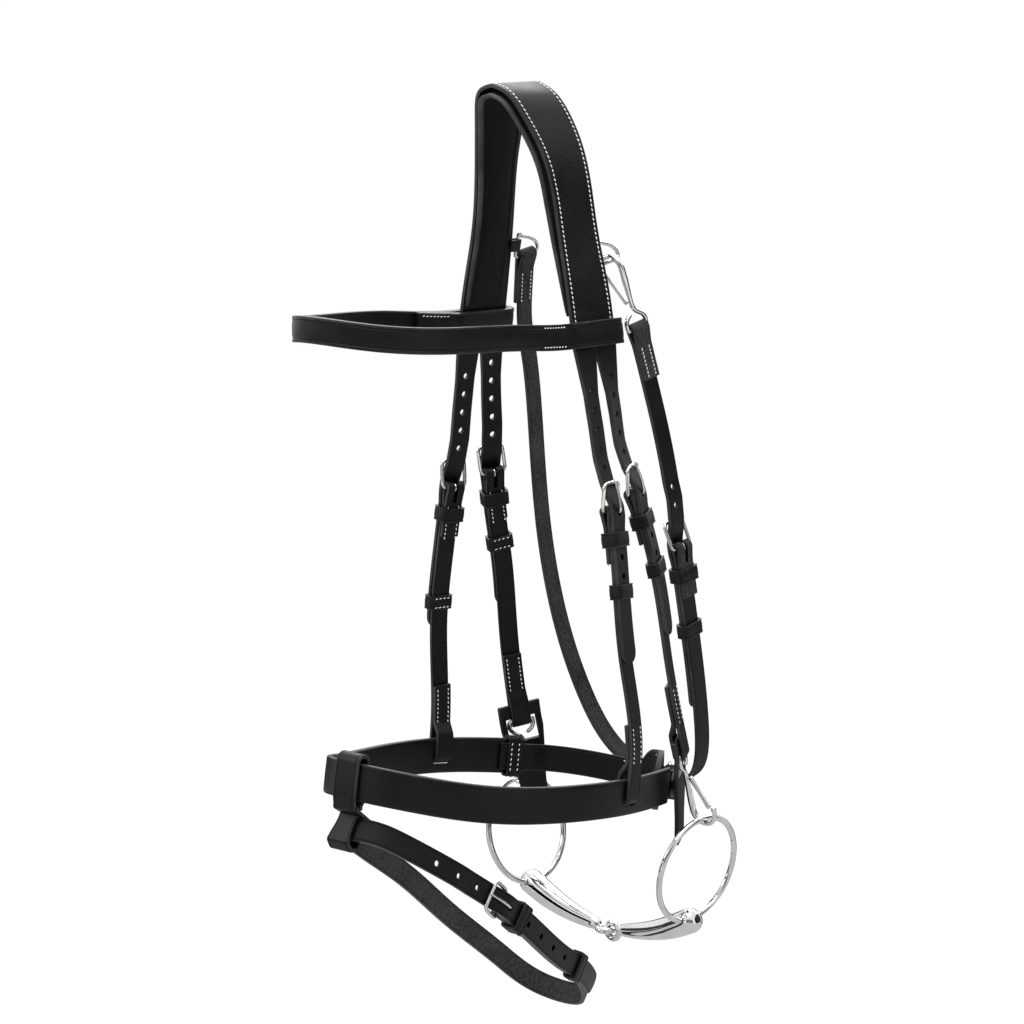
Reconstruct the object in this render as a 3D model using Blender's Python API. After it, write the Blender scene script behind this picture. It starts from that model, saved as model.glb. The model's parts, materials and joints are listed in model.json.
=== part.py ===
"""A horse bridle: leather straps, buckles, keepers, snap clips and a jointed loose-ring bit.

Metres, +Z up. The horse faces -Y and its near (left) side is +X. The origin is under the crown pad,
where the bridle rests on what it hangs from.
"""
import math

import bmesh
import bpy
import numpy as np
from mathutils import Matrix, Vector

# Head form that the straps follow, and the leather
HEAD_HALF = 0.080
HEAD_REACH = 0.150
HEAD_DROP = 0.460
LEATHER = 0.0026
GAP = 0.0003
SOFTEN = 0.0004
STEP = 0.016

# Headpiece and its padding
PAD_END_SHARE = 0.76
BILLET_WIDTH = 0.014
PAD_THICK = 0.007
PAD_FRONT_OVER = 0.006
PAD_REAR_INSET = 0.007
PAD_SIDES = 12
HOLE_RADIUS = 0.0020
HOLE_PITCH = 0.0125
HOLE_SIDES = 6
HOLE_COUNT = 5

# Cheek straps and buckles
STRAP_WIDTH = 0.013
BUCKLE_WIRE = 0.00125
BUCKLE_LENGTH = 0.018
BUCKLE_RISE = 0.0050
BUCKLE_SIDE_ROOM = 0.0006
BUCKLE_CORNER = 0.0035
BUCKLE_SPARE = 0.001
TONGUE_WIRE = 0.0009
TONGUE_ROOM = 0.0004
FOLD_RETURN = 0.034
FOLD_FLARE = 0.010
KEEPER_THICK = 0.0016
KEEPER_LENGTH = 0.0095
KEEPER_CORNER = 0.0016
FIXED_KEEPER_AT = 0.0185
BILLET_TAIL = 0.098
HANGER_HEEL_SHARE = 0.350
CHEEK_HEEL_SHARE = 0.340
NEAR_HANGER_RUNNER_AT = 0.052
FAR_HANGER_RUNNER_AT = 0.080
CHEEK_RUNNER_AT = 0.052

# Noseband, hanger loops and chin pad
NOSEBAND_WIDTH = 0.024
NOSEBAND_THICK = 0.0040
REAR_STRAP_WIDTH = 0.018
SLOT_SIDE_ROOM = 0.0007
SLOT_TOP = 0.0008
BAND_STEP = 0.010
NOSEBAND_NEAR_SHARE = 0.885
NOSEBAND_FAR_SHARE = 0.125
REAR_HEEL_BACK = 0.048
REAR_TAIL = 0.044
CHIN_PAD_WIDTH = 0.040
CHIN_PAD_LENGTH = 0.075
CHIN_PAD_THICK = 0.0060

# Browband
BROWBAND_WIDTH = 0.0165
BROWBAND_THICK = 0.0042
BROWBAND_LOOP_BACK = 0.034
BROWBAND_SHARE = 0.86

# Flash
FLASH_WIDTH = 0.0150
FLASH_TAB_WIDTH = 0.0190
FLASH_BUCKLE_AT = 0.131
FLASH_TAIL = 0.155
FLASH_RUNNER_AT = 0.110
FLASH_TAB_SEAM = 0.003

# Throatlatch
THROAT_TAIL = 0.118
THROAT_RUNNER_AT = 0.058
THROAT_HEEL_DROP = 0.150

# Dee rings
DEE_WIRE = 0.00125
DEE_HEIGHT = 0.0170
DEE_SLANT = 0.22
DEE_REACH = 0.0200
DEE_CORNER = 0.0025
DEE_SHARE = 0.66
DEE_HANG_SHARE = 0.52
DEE_TAB_LENGTH = 0.0080
DEE_TAB_WIDTH = 0.0080

# Snap clips
CLIP_WIRE = 0.0016
CLIP_LENGTH = 0.050
CLIP_HOOK_RADIUS = 0.0095
CLIP_GATE_WIRE = 0.0011
CLIP_EYE_HEIGHT = 0.0105
GUARD_THICK = 0.0030
GUARD_TOP_WIDTH = 0.0300
GUARD_LOW_WIDTH = 0.0190
GUARD_ABOVE = 0.0120
GUARD_BELOW = 0.0620
GUARD_SET_IN = 0.0100
GUARD_CLEAR_AT = 0.0140

# Bit
RING_RADIUS = 0.0365
RING_WIRE = 0.0020
RING_LEAN = math.radians(11.0)
MOUTH_DROP = 0.0210
MOUTH_END_RADIUS = 0.0085
MOUTH_NECK_RADIUS = 0.0042
MOUTH_EYE_RADIUS = 0.0055
MOUTH_EYE_WIRE = 0.0022
MOUTH_BOW = 0.004
MOUTH_PROFILE_SHARES = (
    (0.00, 0.55), (0.05, 0.92), (0.14, 1.00), (0.32, 0.92),
    (0.55, 0.62), (0.78, 0.30), (0.93, 0.05), (1.00, 0.00),
)
BORE_ROOM = 0.00035
RING_STEPS = 32

# Routes, chosen by hand, in shares of (HEAD_HALF, HEAD_REACH, HEAD_DROP); drop is measured down from the crown
CROWN_FRONT_SHARES = (
    (0.00, -0.145, 0.000), (0.14, -0.140, 0.008), (0.26, -0.100, 0.040), (0.38, -0.035, 0.100),
    (0.475, 0.000, 0.200), (0.58, 0.000, 0.290), (0.655, 0.000, 0.365),
)
CROWN_REAR_SHARES = (
    (0.00, 0.145, 0.000), (0.14, 0.155, 0.012), (0.26, 0.190, 0.045), (0.38, 0.220, 0.105),
    (0.475, 0.240, 0.205), (0.57, 0.260, 0.290), (0.635, 0.265, 0.365),
)
HANGER_SHARES = (
    (0.660, 0.065, 0.372), (0.775, 0.080, 0.487), (0.900, 0.095, 0.587), (0.985, 0.090, 0.683),
    (1.060, 0.090, 0.787), (1.115, 0.105, 0.891),
)
CHEEK_SHARES = (
    (0.650, 0.200, 0.372), (0.740, 0.255, 0.507), (0.840, 0.330, 0.615), (0.880, 0.405, 0.711),
    (0.915, 0.460, 0.822), (0.955, 0.550, 0.953),
)
NOSEBAND_SHARES = (
    (0.000, -1.000, 0.936), (0.430, -0.905, 0.945), (0.820, -0.640, 0.966), (1.060, -0.270, 0.980),
    (1.080, 0.080, 0.989), (0.860, 0.430, 1.002), (0.490, 0.740, 1.020), (0.000, 0.880, 1.034),
)
BROWBAND_SHARES = (
    (0.000, -1.235, 0.309), (0.500, -1.070, 0.317), (0.890, -0.740, 0.324), (0.960, -0.420, 0.331),
)
THROAT_SHARES = (
    (0.660, 0.450, 0.400), (0.730, 0.535, 0.520), (0.775, 0.605, 0.652), (0.765, 0.700, 0.790),
    (0.660, 0.830, 0.925), (0.390, 0.960, 1.020), (0.000, 1.020, 1.045),
)
FLASH_SHARES = (
    (0.000, -1.020, 1.003), (0.210, -0.985, 1.004), (0.400, -0.890, 1.023), (0.500, -0.802, 1.043),
    (0.600, -0.558, 1.096), (0.575, -0.287, 1.160), (0.450, 0.021, 1.235), (0.190, 0.345, 1.301),
    (-0.110, 0.470, 1.344), (-0.375, 0.400, 1.335), (-0.525, 0.190, 1.280), (-0.525, -0.128, 1.199),
    (-0.450, -0.444, 1.118), (-0.350, -0.740, 1.055), (-0.200, -0.960, 1.010),
)

SIDES = (("near", 1.0), ("far", -1.0))
CROWN_LIFT = PAD_THICK + GAP * 2 + LEATHER / 2
BAND_SEAT = NOSEBAND_THICK / 2 + GAP * 2 + LEATHER / 2


def clear_scene():
    """Removes what the start-up scene holds."""
    for obj in list(bpy.data.objects):
        bpy.data.objects.remove(obj, do_unlink=True)


def make_material(name, colour, roughness, metallic):
    """One Principled material."""
    material = bpy.data.materials.new(name)
    material.use_nodes = True
    shader = material.node_tree.nodes["Principled BSDF"]
    shader.inputs["Base Color"].default_value = (*colour, 1.0)
    shader.inputs["Roughness"].default_value = roughness
    shader.inputs["Metallic"].default_value = metallic
    return material


FINISHES = {
    "leather": ((0.012, 0.011, 0.011), 0.45, 0.0),
    "padding": ((0.020, 0.019, 0.019), 0.60, 0.0),
    "nickel": ((0.75, 0.74, 0.71), 0.18, 1.0),
    "steel": ((0.80, 0.80, 0.80), 0.10, 1.0),
}


def head_point(share):
    """A place on the head form, from shares of its half width, reach and drop."""
    x_share, y_share, drop_share = share
    return Vector((x_share * HEAD_HALF, y_share * HEAD_REACH, CROWN_LIFT - drop_share * HEAD_DROP))


def mirrored(points):
    """The same points or directions on the other side of the head."""
    return [Vector((-p.x, p.y, p.z)) for p in points]


def smooth_samples(points, samples):
    """Points along a natural cubic spline through the given points."""
    knots = np.array([tuple(p) for p in points])
    chord = np.linalg.norm(np.diff(knots, axis=0), axis=1)
    places = np.concatenate([[0.0], np.cumsum(chord)])
    count = len(knots)
    system = np.zeros((count, count))
    target = np.zeros((count, 3))
    system[0, 0] = system[-1, -1] = 1.0
    for i in range(1, count - 1):
        system[i, i - 1] = chord[i - 1]
        system[i, i] = 2 * (chord[i - 1] + chord[i])
        system[i, i + 1] = chord[i]
        target[i] = 6 * ((knots[i + 1] - knots[i]) / chord[i] - (knots[i] - knots[i - 1]) / chord[i - 1])
    bend = np.linalg.solve(system, target)
    found = []
    for place in np.linspace(0.0, places[-1], samples):
        i = min(int(np.searchsorted(places, place, side="right")) - 1, count - 2)
        h = chord[i]
        a = places[i + 1] - place
        b = place - places[i]
        found.append(
            bend[i] * a ** 3 / (6 * h) + bend[i + 1] * b ** 3 / (6 * h)
            + (knots[i] / h - bend[i] * h / 6) * a + (knots[i + 1] / h - bend[i + 1] * h / 6) * b
        )
    return np.array(found)


class Line:
    """A strap's smooth middle line: along it s, out from the head n, across the strap b."""

    SAMPLES = 360
    WRAP = 3

    def __init__(self, points, across, side=1.0, closed=False):
        """points: places; across: one direction or one for each point, the way the strap's width lies."""
        self.side = side
        self.closed = closed
        if closed:
            wrap = self.WRAP
            points = points[-wrap:] + points + points[:wrap + 1]
            self.places = smooth_samples(points, self.SAMPLES)
            chords = np.linalg.norm(np.diff(np.array([tuple(p) for p in points]), axis=0), axis=1)
            stops = np.concatenate([[0.0], np.cumsum(chords)])
            first = int(round(stops[wrap] / stops[-1] * (self.SAMPLES - 1)))
            last = int(round(stops[-wrap - 1] / stops[-1] * (self.SAMPLES - 1)))
            self.places = self.places[first:last + 1]
            self.places[-1] = self.places[0]
            points = [Vector(p) for p in self.places[::self.SAMPLES // 20]]
        else:
            self.places = smooth_samples(points, self.SAMPLES)
        steps = np.linalg.norm(np.diff(self.places, axis=0), axis=1)
        self.s = np.concatenate([[0.0], np.cumsum(steps)])
        self.length = float(self.s[-1])
        self.along = np.gradient(self.places, self.s, axis=0)
        if closed:
            self.along[0] = self.along[-1] = self.places[1] - self.places[-2]
        self.along /= np.linalg.norm(self.along, axis=1)[:, None]
        if isinstance(across, Vector):
            across = [across] * len(points)
        chord = np.linalg.norm(np.diff(np.array([tuple(p) for p in points]), axis=0), axis=1)
        knots = np.concatenate([[0.0], np.cumsum(chord)]) / chord.sum() * self.length
        table = np.array([tuple(v) for v in across])
        self.across = np.stack([np.interp(self.s, knots, table[:, k]) for k in range(3)], axis=1)
        self.across -= (self.across * self.along).sum(1)[:, None] * self.along
        self.across /= np.linalg.norm(self.across, axis=1)[:, None]

    def frame(self, s):
        """The place and the three directions at s; past an end the line runs straight on."""
        if self.closed:
            s = s % self.length
        held = min(max(s, 0.0), self.length)
        place = Vector([float(np.interp(held, self.s, self.places[:, k])) for k in range(3)])
        along = Vector([float(np.interp(held, self.s, self.along[:, k])) for k in range(3)]).normalized()
        across = Vector([float(np.interp(held, self.s, self.across[:, k])) for k in range(3)])
        across = (across - along * across.dot(along)).normalized()
        out = along.cross(across) * self.side
        return place + along * (s - held), along, out, across

    def at(self, s, n=0.0, b=0.0):
        """A point in the line's own coordinates."""
        place, _, out, across = self.frame(s)
        return place + out * n + across * b

    def share(self, share):
        """The distance along the line of a share of its length."""
        return share * self.length


def link(mesh, name, finish, smooth=40.0):
    """Adds the finished mesh as one named object with its own material."""
    for polygon in mesh.polygons:
        polygon.use_smooth = True
    mesh.set_sharp_from_angle(angle=math.radians(smooth))
    obj = bpy.data.objects.new(name, mesh)
    bpy.context.scene.collection.objects.link(obj)
    mesh.materials.append(make_material(finish + "_" + name, *FINISHES[finish]))
    return obj


def hang(obj, pivot):
    """Puts an object's origin on its joint, its form left where it is."""
    obj.data.transform(Matrix.Translation(-pivot))
    obj.location = pivot
    return obj


def rings_to_mesh(name, rings, closed):
    """Joins rings of equally many points into one closed body."""
    bm = bmesh.new()
    rows = [[bm.verts.new(p) for p in ring] for ring in rings]
    count = len(rows[0])
    last = len(rows) if closed else len(rows) - 1
    for i in range(last):
        here = rows[i]
        there = rows[(i + 1) % len(rows)]
        for k in range(count):
            bm.faces.new((here[k], here[(k + 1) % count], there[(k + 1) % count], there[k]))
    if not closed:
        bm.faces.new(list(reversed(rows[0])))
        bm.faces.new(rows[-1])
    bmesh.ops.recalc_face_normals(bm, faces=bm.faces)
    mesh = bpy.data.meshes.new(name)
    bm.to_mesh(mesh)
    bm.free()
    return mesh


def soft_box_ring(centre, thick_dir, wide_dir, thick, wide):
    """A strap's section: a rectangle with its corners eased."""
    t = thick / 2
    w = wide / 2
    c = min(SOFTEN, thick / 4)
    outline = ((-t, -w + c), (-t + c, -w), (t - c, -w), (t, -w + c),
               (t, w - c), (t - c, w), (-t + c, w), (-t, w - c))
    return [centre + thick_dir * u + wide_dir * v for u, v in outline]


def finer(path, step=STEP):
    """Adds stops to a path of (s, n) so that none is further than step from the next."""
    found = [path[0]]
    for a, b in zip(path, path[1:]):
        count = max(1, math.ceil(math.hypot(b[0] - a[0], b[1] - a[1]) / step))
        for k in range(1, count + 1):
            f = k / count
            found.append((a[0] + (b[0] - a[0]) * f, a[1] + (b[1] - a[1]) * f))
    return found


def eased(path, rounds=2):
    """Cuts the corners of a path of (s, n), ends kept."""
    for _ in range(rounds):
        found = [path[0]]
        for i, (a, b) in enumerate(zip(path, path[1:])):
            if i:
                found.append((a[0] * 3 / 4 + b[0] / 4, a[1] * 3 / 4 + b[1] / 4))
            if i < len(path) - 2:
                found.append((a[0] / 4 + b[0] * 3 / 4, a[1] / 4 + b[1] * 3 / 4))
        found.append(path[-1])
        path = found
    return path


def arc(centre_s, centre_n, radius, start, end, steps):
    """Stops on an arc in (s, n), angles in degrees from the +s way towards +n."""
    found = []
    for k in range(steps + 1):
        angle = math.radians(start + (end - start) * k / steps)
        found.append((centre_s + radius * math.cos(angle), centre_n + radius * math.sin(angle)))
    return found


TIP_SHARES = ((1.0, 1.0), (0.55, 0.92), (0.25, 0.72), (0.06, 0.40))


def strap_rings(line, path, width, thick=LEATHER, tip=False, start_tip=False, middle=0.0):
    """Rings of a strap that follows a path of (s, n) on its line, with a rounded tip where asked."""
    stops = [(s, n, 1.0) for s, n in path]
    if tip:
        stops = tipped(stops, width)
    if start_tip:
        stops = tipped(stops[::-1], width)[::-1]
    rings = []
    for i, (s, n, wide) in enumerate(stops):
        before = stops[max(i - 1, 0)]
        after = stops[min(i + 1, len(stops) - 1)]
        place, along, out, across = line.frame(s)
        thick_dir = (out * (after[0] - before[0]) - along * (after[1] - before[1])).normalized()
        rings.append(soft_box_ring(place + out * n + across * middle, thick_dir, across, thick, width * wide))
    return rings


def tipped(stops, width):
    """Rounds the far end of a strap."""
    s1, n1, _ = stops[-1]
    s0, n0, _ = stops[-2]
    length = math.hypot(s1 - s0, n1 - n0)
    ds = (s1 - s0) / length
    dn = (n1 - n0) / length
    reach = width / 2
    kept = [p for p in stops if math.hypot(s1 - p[0], n1 - p[1]) > reach * 1.1]
    ends = [(s1 - ds * reach * back, n1 - dn * reach * back, wide) for back, wide in TIP_SHARES]
    return kept + ends


def strap(name, line, path, width, finish="leather", **options):
    """A strap as one object."""
    return link(rings_to_mesh(name, strap_rings(line, path, width, **options), False), name, finish)


def tube_rings(points, radii, sides, closed=False):
    """Round rings along points, carried without twist."""
    count = len(points)
    if not isinstance(radii, (list, tuple)):
        radii = [radii] * count
    ways = []
    for i in range(count):
        before = points[i - 1] if closed or i else points[i]
        after = points[(i + 1) % count] if closed or i < count - 1 else points[i]
        ways.append((after - before).normalized())
    normal = ways[0].orthogonal().normalized()
    if closed:
        middle = sum(points, Vector()) / count
        normal = (points[0] - middle).normalized()
    rings = []
    for i in range(count):
        normal = (normal - ways[i] * normal.dot(ways[i])).normalized()
        other = ways[i].cross(normal)
        ring = []
        for k in range(sides):
            angle = math.tau * (k + 0.5) / sides
            ring.append(points[i] + (normal * math.cos(angle) + other * math.sin(angle)) * radii[i])
        rings.append(ring)
    return rings


def wire(name, points, radii, finish, sides=8, closed=False):
    """A bent wire or tapered bar as one object."""
    return link(rings_to_mesh(name, tube_rings(points, radii, sides, closed), closed), name, finish, 50.0)


def cutter(mesh, name):
    """A cutting body, kept out of the model."""
    obj = bpy.data.objects.new(name, mesh)
    bpy.context.scene.collection.objects.link(obj)
    obj.hide_render = True
    obj.display_type = "WIRE"
    return obj


def cut(obj, tool, operation="DIFFERENCE"):
    """A live Boolean with the exact solver."""
    modifier = obj.modifiers.new(tool.name, "BOOLEAN")
    modifier.operation = operation
    modifier.solver = "EXACT"
    modifier.object = tool


def box_cutter(name, line, s_range, n_range, b_range):
    """A straight-sided cutter given by ranges on a line."""
    rings = []
    for s in s_range:
        rings.append([line.at(s, n, b) for n, b in (
            (n_range[0], b_range[0]), (n_range[1], b_range[0]),
            (n_range[1], b_range[1]), (n_range[0], b_range[1]))])
    return cutter(rings_to_mesh(name, rings, False), name)


def hole_cutter(name, line, spots, depth, radius=HOLE_RADIUS):
    """Round cutters through a strap at spots of (s, n)."""
    bm = bmesh.new()
    for s, n in spots:
        place, _, out, _ = line.frame(s)
        turn = out.to_track_quat("Z", "Y").to_matrix().to_4x4()
        where = Matrix.Translation(place + out * n) @ turn
        bmesh.ops.create_cone(
            bm, cap_ends=True, segments=HOLE_SIDES, radius1=radius, radius2=radius, depth=depth, matrix=where)
    mesh = bpy.data.meshes.new(name)
    bm.to_mesh(mesh)
    bm.free()
    return cutter(mesh, name)


def keeper(name, line, s, n_low, n_high, half_b, length=KEEPER_LENGTH, thick=KEEPER_THICK):
    """A closed leather loop round the layers between n_low and n_high, with its inner faces there."""
    place, along, out, across = line.frame(s)
    c = KEEPER_CORNER
    t = thick / 2
    outline = []
    corners = ((n_high + t, half_b + t, 0), (n_high + t, -half_b - t, 90), (n_low - t, -half_b - t, 180),
               (n_low - t, half_b + t, 270))
    for n, b, turn in corners:
        n_in = n - c if n > n_low else n + c
        b_in = b - c if b > 0 else b + c
        for k in range(3):
            angle = math.radians(90 - turn - 45 * k)
            outline.append((n_in + c * math.cos(angle), b_in + c * math.sin(angle), angle))
    rings = []
    for n, b, angle in outline:
        face = (out * math.cos(angle) + across * math.sin(angle)) * (thick / 2)
        side = along * (length / 2)
        middle = place + out * n + across * b
        rings.append([middle - face - side, middle + face - side, middle + face + side, middle - face + side])
    return link(rings_to_mesh(name, rings, True), name, "leather")


class Buckle:
    """Everything at one buckle, in the coordinates of its strap line."""

    def __init__(self, line, heel, width=STRAP_WIDTH, up=1.0, billet_width=BILLET_WIDTH):
        """heel: s of the heel bar's foot; up: +1 where the lower strap runs on towards larger s."""
        self.line = line
        self.heel = heel
        self.width = width
        self.up = up
        self.billet_width = billet_width
        self.mid = -(LEATHER + GAP) / 2
        self.fold = BUCKLE_WIRE + GAP + LEATHER / 2

    def spot(self, x, y):
        """x towards the frame's top, y outward, both from the heel bar, as (s, n)."""
        return self.heel - x * self.up, self.mid + y

    def point(self, x, y, b=0.0):
        """The same as a place in the world."""
        s, n = self.spot(x, y)
        return self.line.at(s, n, b)

    def pierced(self):
        """Where the tongue comes out through the billet."""
        return self.spot(-TONGUE_WIRE * 2, self.fold + LEATHER + GAP)

    def lower_path(self):
        """The lower strap's folded end: the return leg, the bend round the heel bar, then the outer layer."""
        layer = (LEATHER + GAP) / 2
        path = [(-FOLD_RETURN, -layer), (-FOLD_FLARE, -layer)]
        for k in range(7):
            angle = math.radians(-90 - 20 + (180 + 40) * k / 6)
            path.append((self.fold * math.cos(angle), self.fold * math.sin(angle)))
        path += [(-FOLD_FLARE, layer), (-FOLD_FLARE - STEP, layer)]
        return [self.spot(x, y) for x, y in path]

    def billet_over(self):
        """The billet's stops from the top bar down on to the lower strap."""
        lie = (LEATHER + GAP) * 3 / 2
        over = self.fold + LEATHER + GAP
        under_bar = BUCKLE_RISE - BUCKLE_WIRE - GAP * 3 - LEATHER / 2
        lead = BUCKLE_LENGTH + STEP
        stops = [(lead, under_bar - BUCKLE_WIRE), (BUCKLE_LENGTH, under_bar), (BUCKLE_WIRE * 2, over),
                 (-BUCKLE_WIRE * 3, over), (-FOLD_FLARE - KEEPER_THICK, lie)]
        return [self.spot(x, y) for x, y in stops]

    def frame(self, name):
        """The wire frame, tilted outward at the top."""
        half = self.billet_width / 2 + BUCKLE_SIDE_ROOM + BUCKLE_WIRE
        c = BUCKLE_CORNER
        length = math.hypot(BUCKLE_LENGTH, BUCKLE_RISE)
        points = []
        for v, b, start in ((0, half, 90), (0, -half, 180), (length, -half, 270), (length, half, 0)):
            v_in = v + c if v == 0 else v - c
            b_in = b - c if b > 0 else b + c
            for k in range(3):
                angle = math.radians(start + 45 * k)
                v_at = v_in + c * math.cos(angle)
                b_at = b_in + c * math.sin(angle)
                points.append(self.point(BUCKLE_LENGTH * v_at / length, BUCKLE_RISE * v_at / length, b_at))
        return wire(name, points, BUCKLE_WIRE, "nickel", 6, True)

    def tongue(self, name):
        """The tongue: a hook round the heel bar, out through the billet, on to the top bar."""
        eye = BUCKLE_WIRE + GAP + TONGUE_WIRE
        leave = math.radians(165)
        flat = [(eye * math.cos(math.radians(a)), eye * math.sin(math.radians(a))) for a in
                (30, -5, -40, -75, -110, -145, -170, -195)]
        over = self.fold + LEATHER / 2 * 3 + GAP * 2 + TONGUE_WIRE
        foot = flat[-1]
        climb = over - foot[1]
        run = climb * math.sin(math.pi - leave) ** 2 * 2
        flat.append((foot[0] + run, over - TONGUE_WIRE))
        flat.append((flat[-1][0] + TONGUE_WIRE * 2, over + GAP))
        flat.append((BUCKLE_LENGTH / 2, over + TONGUE_WIRE))
        flat.append((BUCKLE_LENGTH, BUCKLE_RISE + BUCKLE_WIRE + GAP * 2 + TONGUE_WIRE))
        flat.append((BUCKLE_LENGTH + BUCKLE_WIRE * 2, BUCKLE_RISE + BUCKLE_WIRE + TONGUE_WIRE))
        obj = wire(name, [self.point(x, y) for x, y in flat], TONGUE_WIRE, "nickel", 6)
        return hang(obj, self.point(0.0, 0.0))

    def tongue_slot(self, name):
        """The slot in the fold that the tongue's eye sits in."""
        half = TONGUE_WIRE + TONGUE_ROOM
        reach = self.fold + LEATHER
        ends = sorted((self.heel - reach * self.up, self.heel + FOLD_FLARE * self.up))
        return box_cutter(name, self.line, ends,
                          (self.mid - reach, self.mid + reach), (-half, half))

    def keepers(self, name, runner_at=CHEEK_RUNNER_AT, fixed_at=FIXED_KEEPER_AT):
        """The sewn keeper by the buckle and the running keeper further on."""
        high = (LEATHER + GAP) * 3 / 2 + self.mid + LEATHER / 2 + GAP * 2
        low = -LEATHER / 2 - GAP
        half = max(self.width, self.billet_width) / 2 + GAP
        place = self.heel + fixed_at * self.up
        keeper(name + "_fixed_keeper", self.line, place, low - LEATHER - GAP, high, half)
        if runner_at:
            s = self.heel + runner_at * self.up
            hang(keeper(name + "_running_keeper", self.line, s, low, high, half), self.line.at(s))


def across_table(yaws):
    """Level directions across a strap, turned back by the yaw of each point."""
    return [Vector((-math.sin(math.radians(yaw)), math.cos(math.radians(yaw)), 0)) for yaw in yaws]


def side_line(points, yaws, side):
    """A cheek line on the near side, or its mirror image."""
    across = across_table(yaws)
    if side < 0:
        points = mirrored(points)
        across = [Vector((-v.x, v.y, v.z)) for v in across]
    return Line(points, across, side)


def noseband_line():
    """The noseband's closed middle line, from the back round the far side, the front and the near side."""
    half = [head_point(share) for share in NOSEBAND_SHARES]
    points = mirrored(half[:0:-1]) + half[:-1]
    rise = half[0] - half[-1]
    return Line(points, rise.cross(Vector((1, 0, 0))).normalized(), 1.0, True)


def nearest_s(line, target, lowest=0.0, highest=1.0):
    """The distance along a line of its point nearest to a place, in plan."""
    keep = (line.s >= lowest * line.length) & (line.s <= highest * line.length)
    away = np.linalg.norm(line.places[:, :2] - np.array(tuple(target))[:2], axis=1)
    away[~keep] = np.inf
    return float(line.s[int(away.argmin())])


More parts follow.
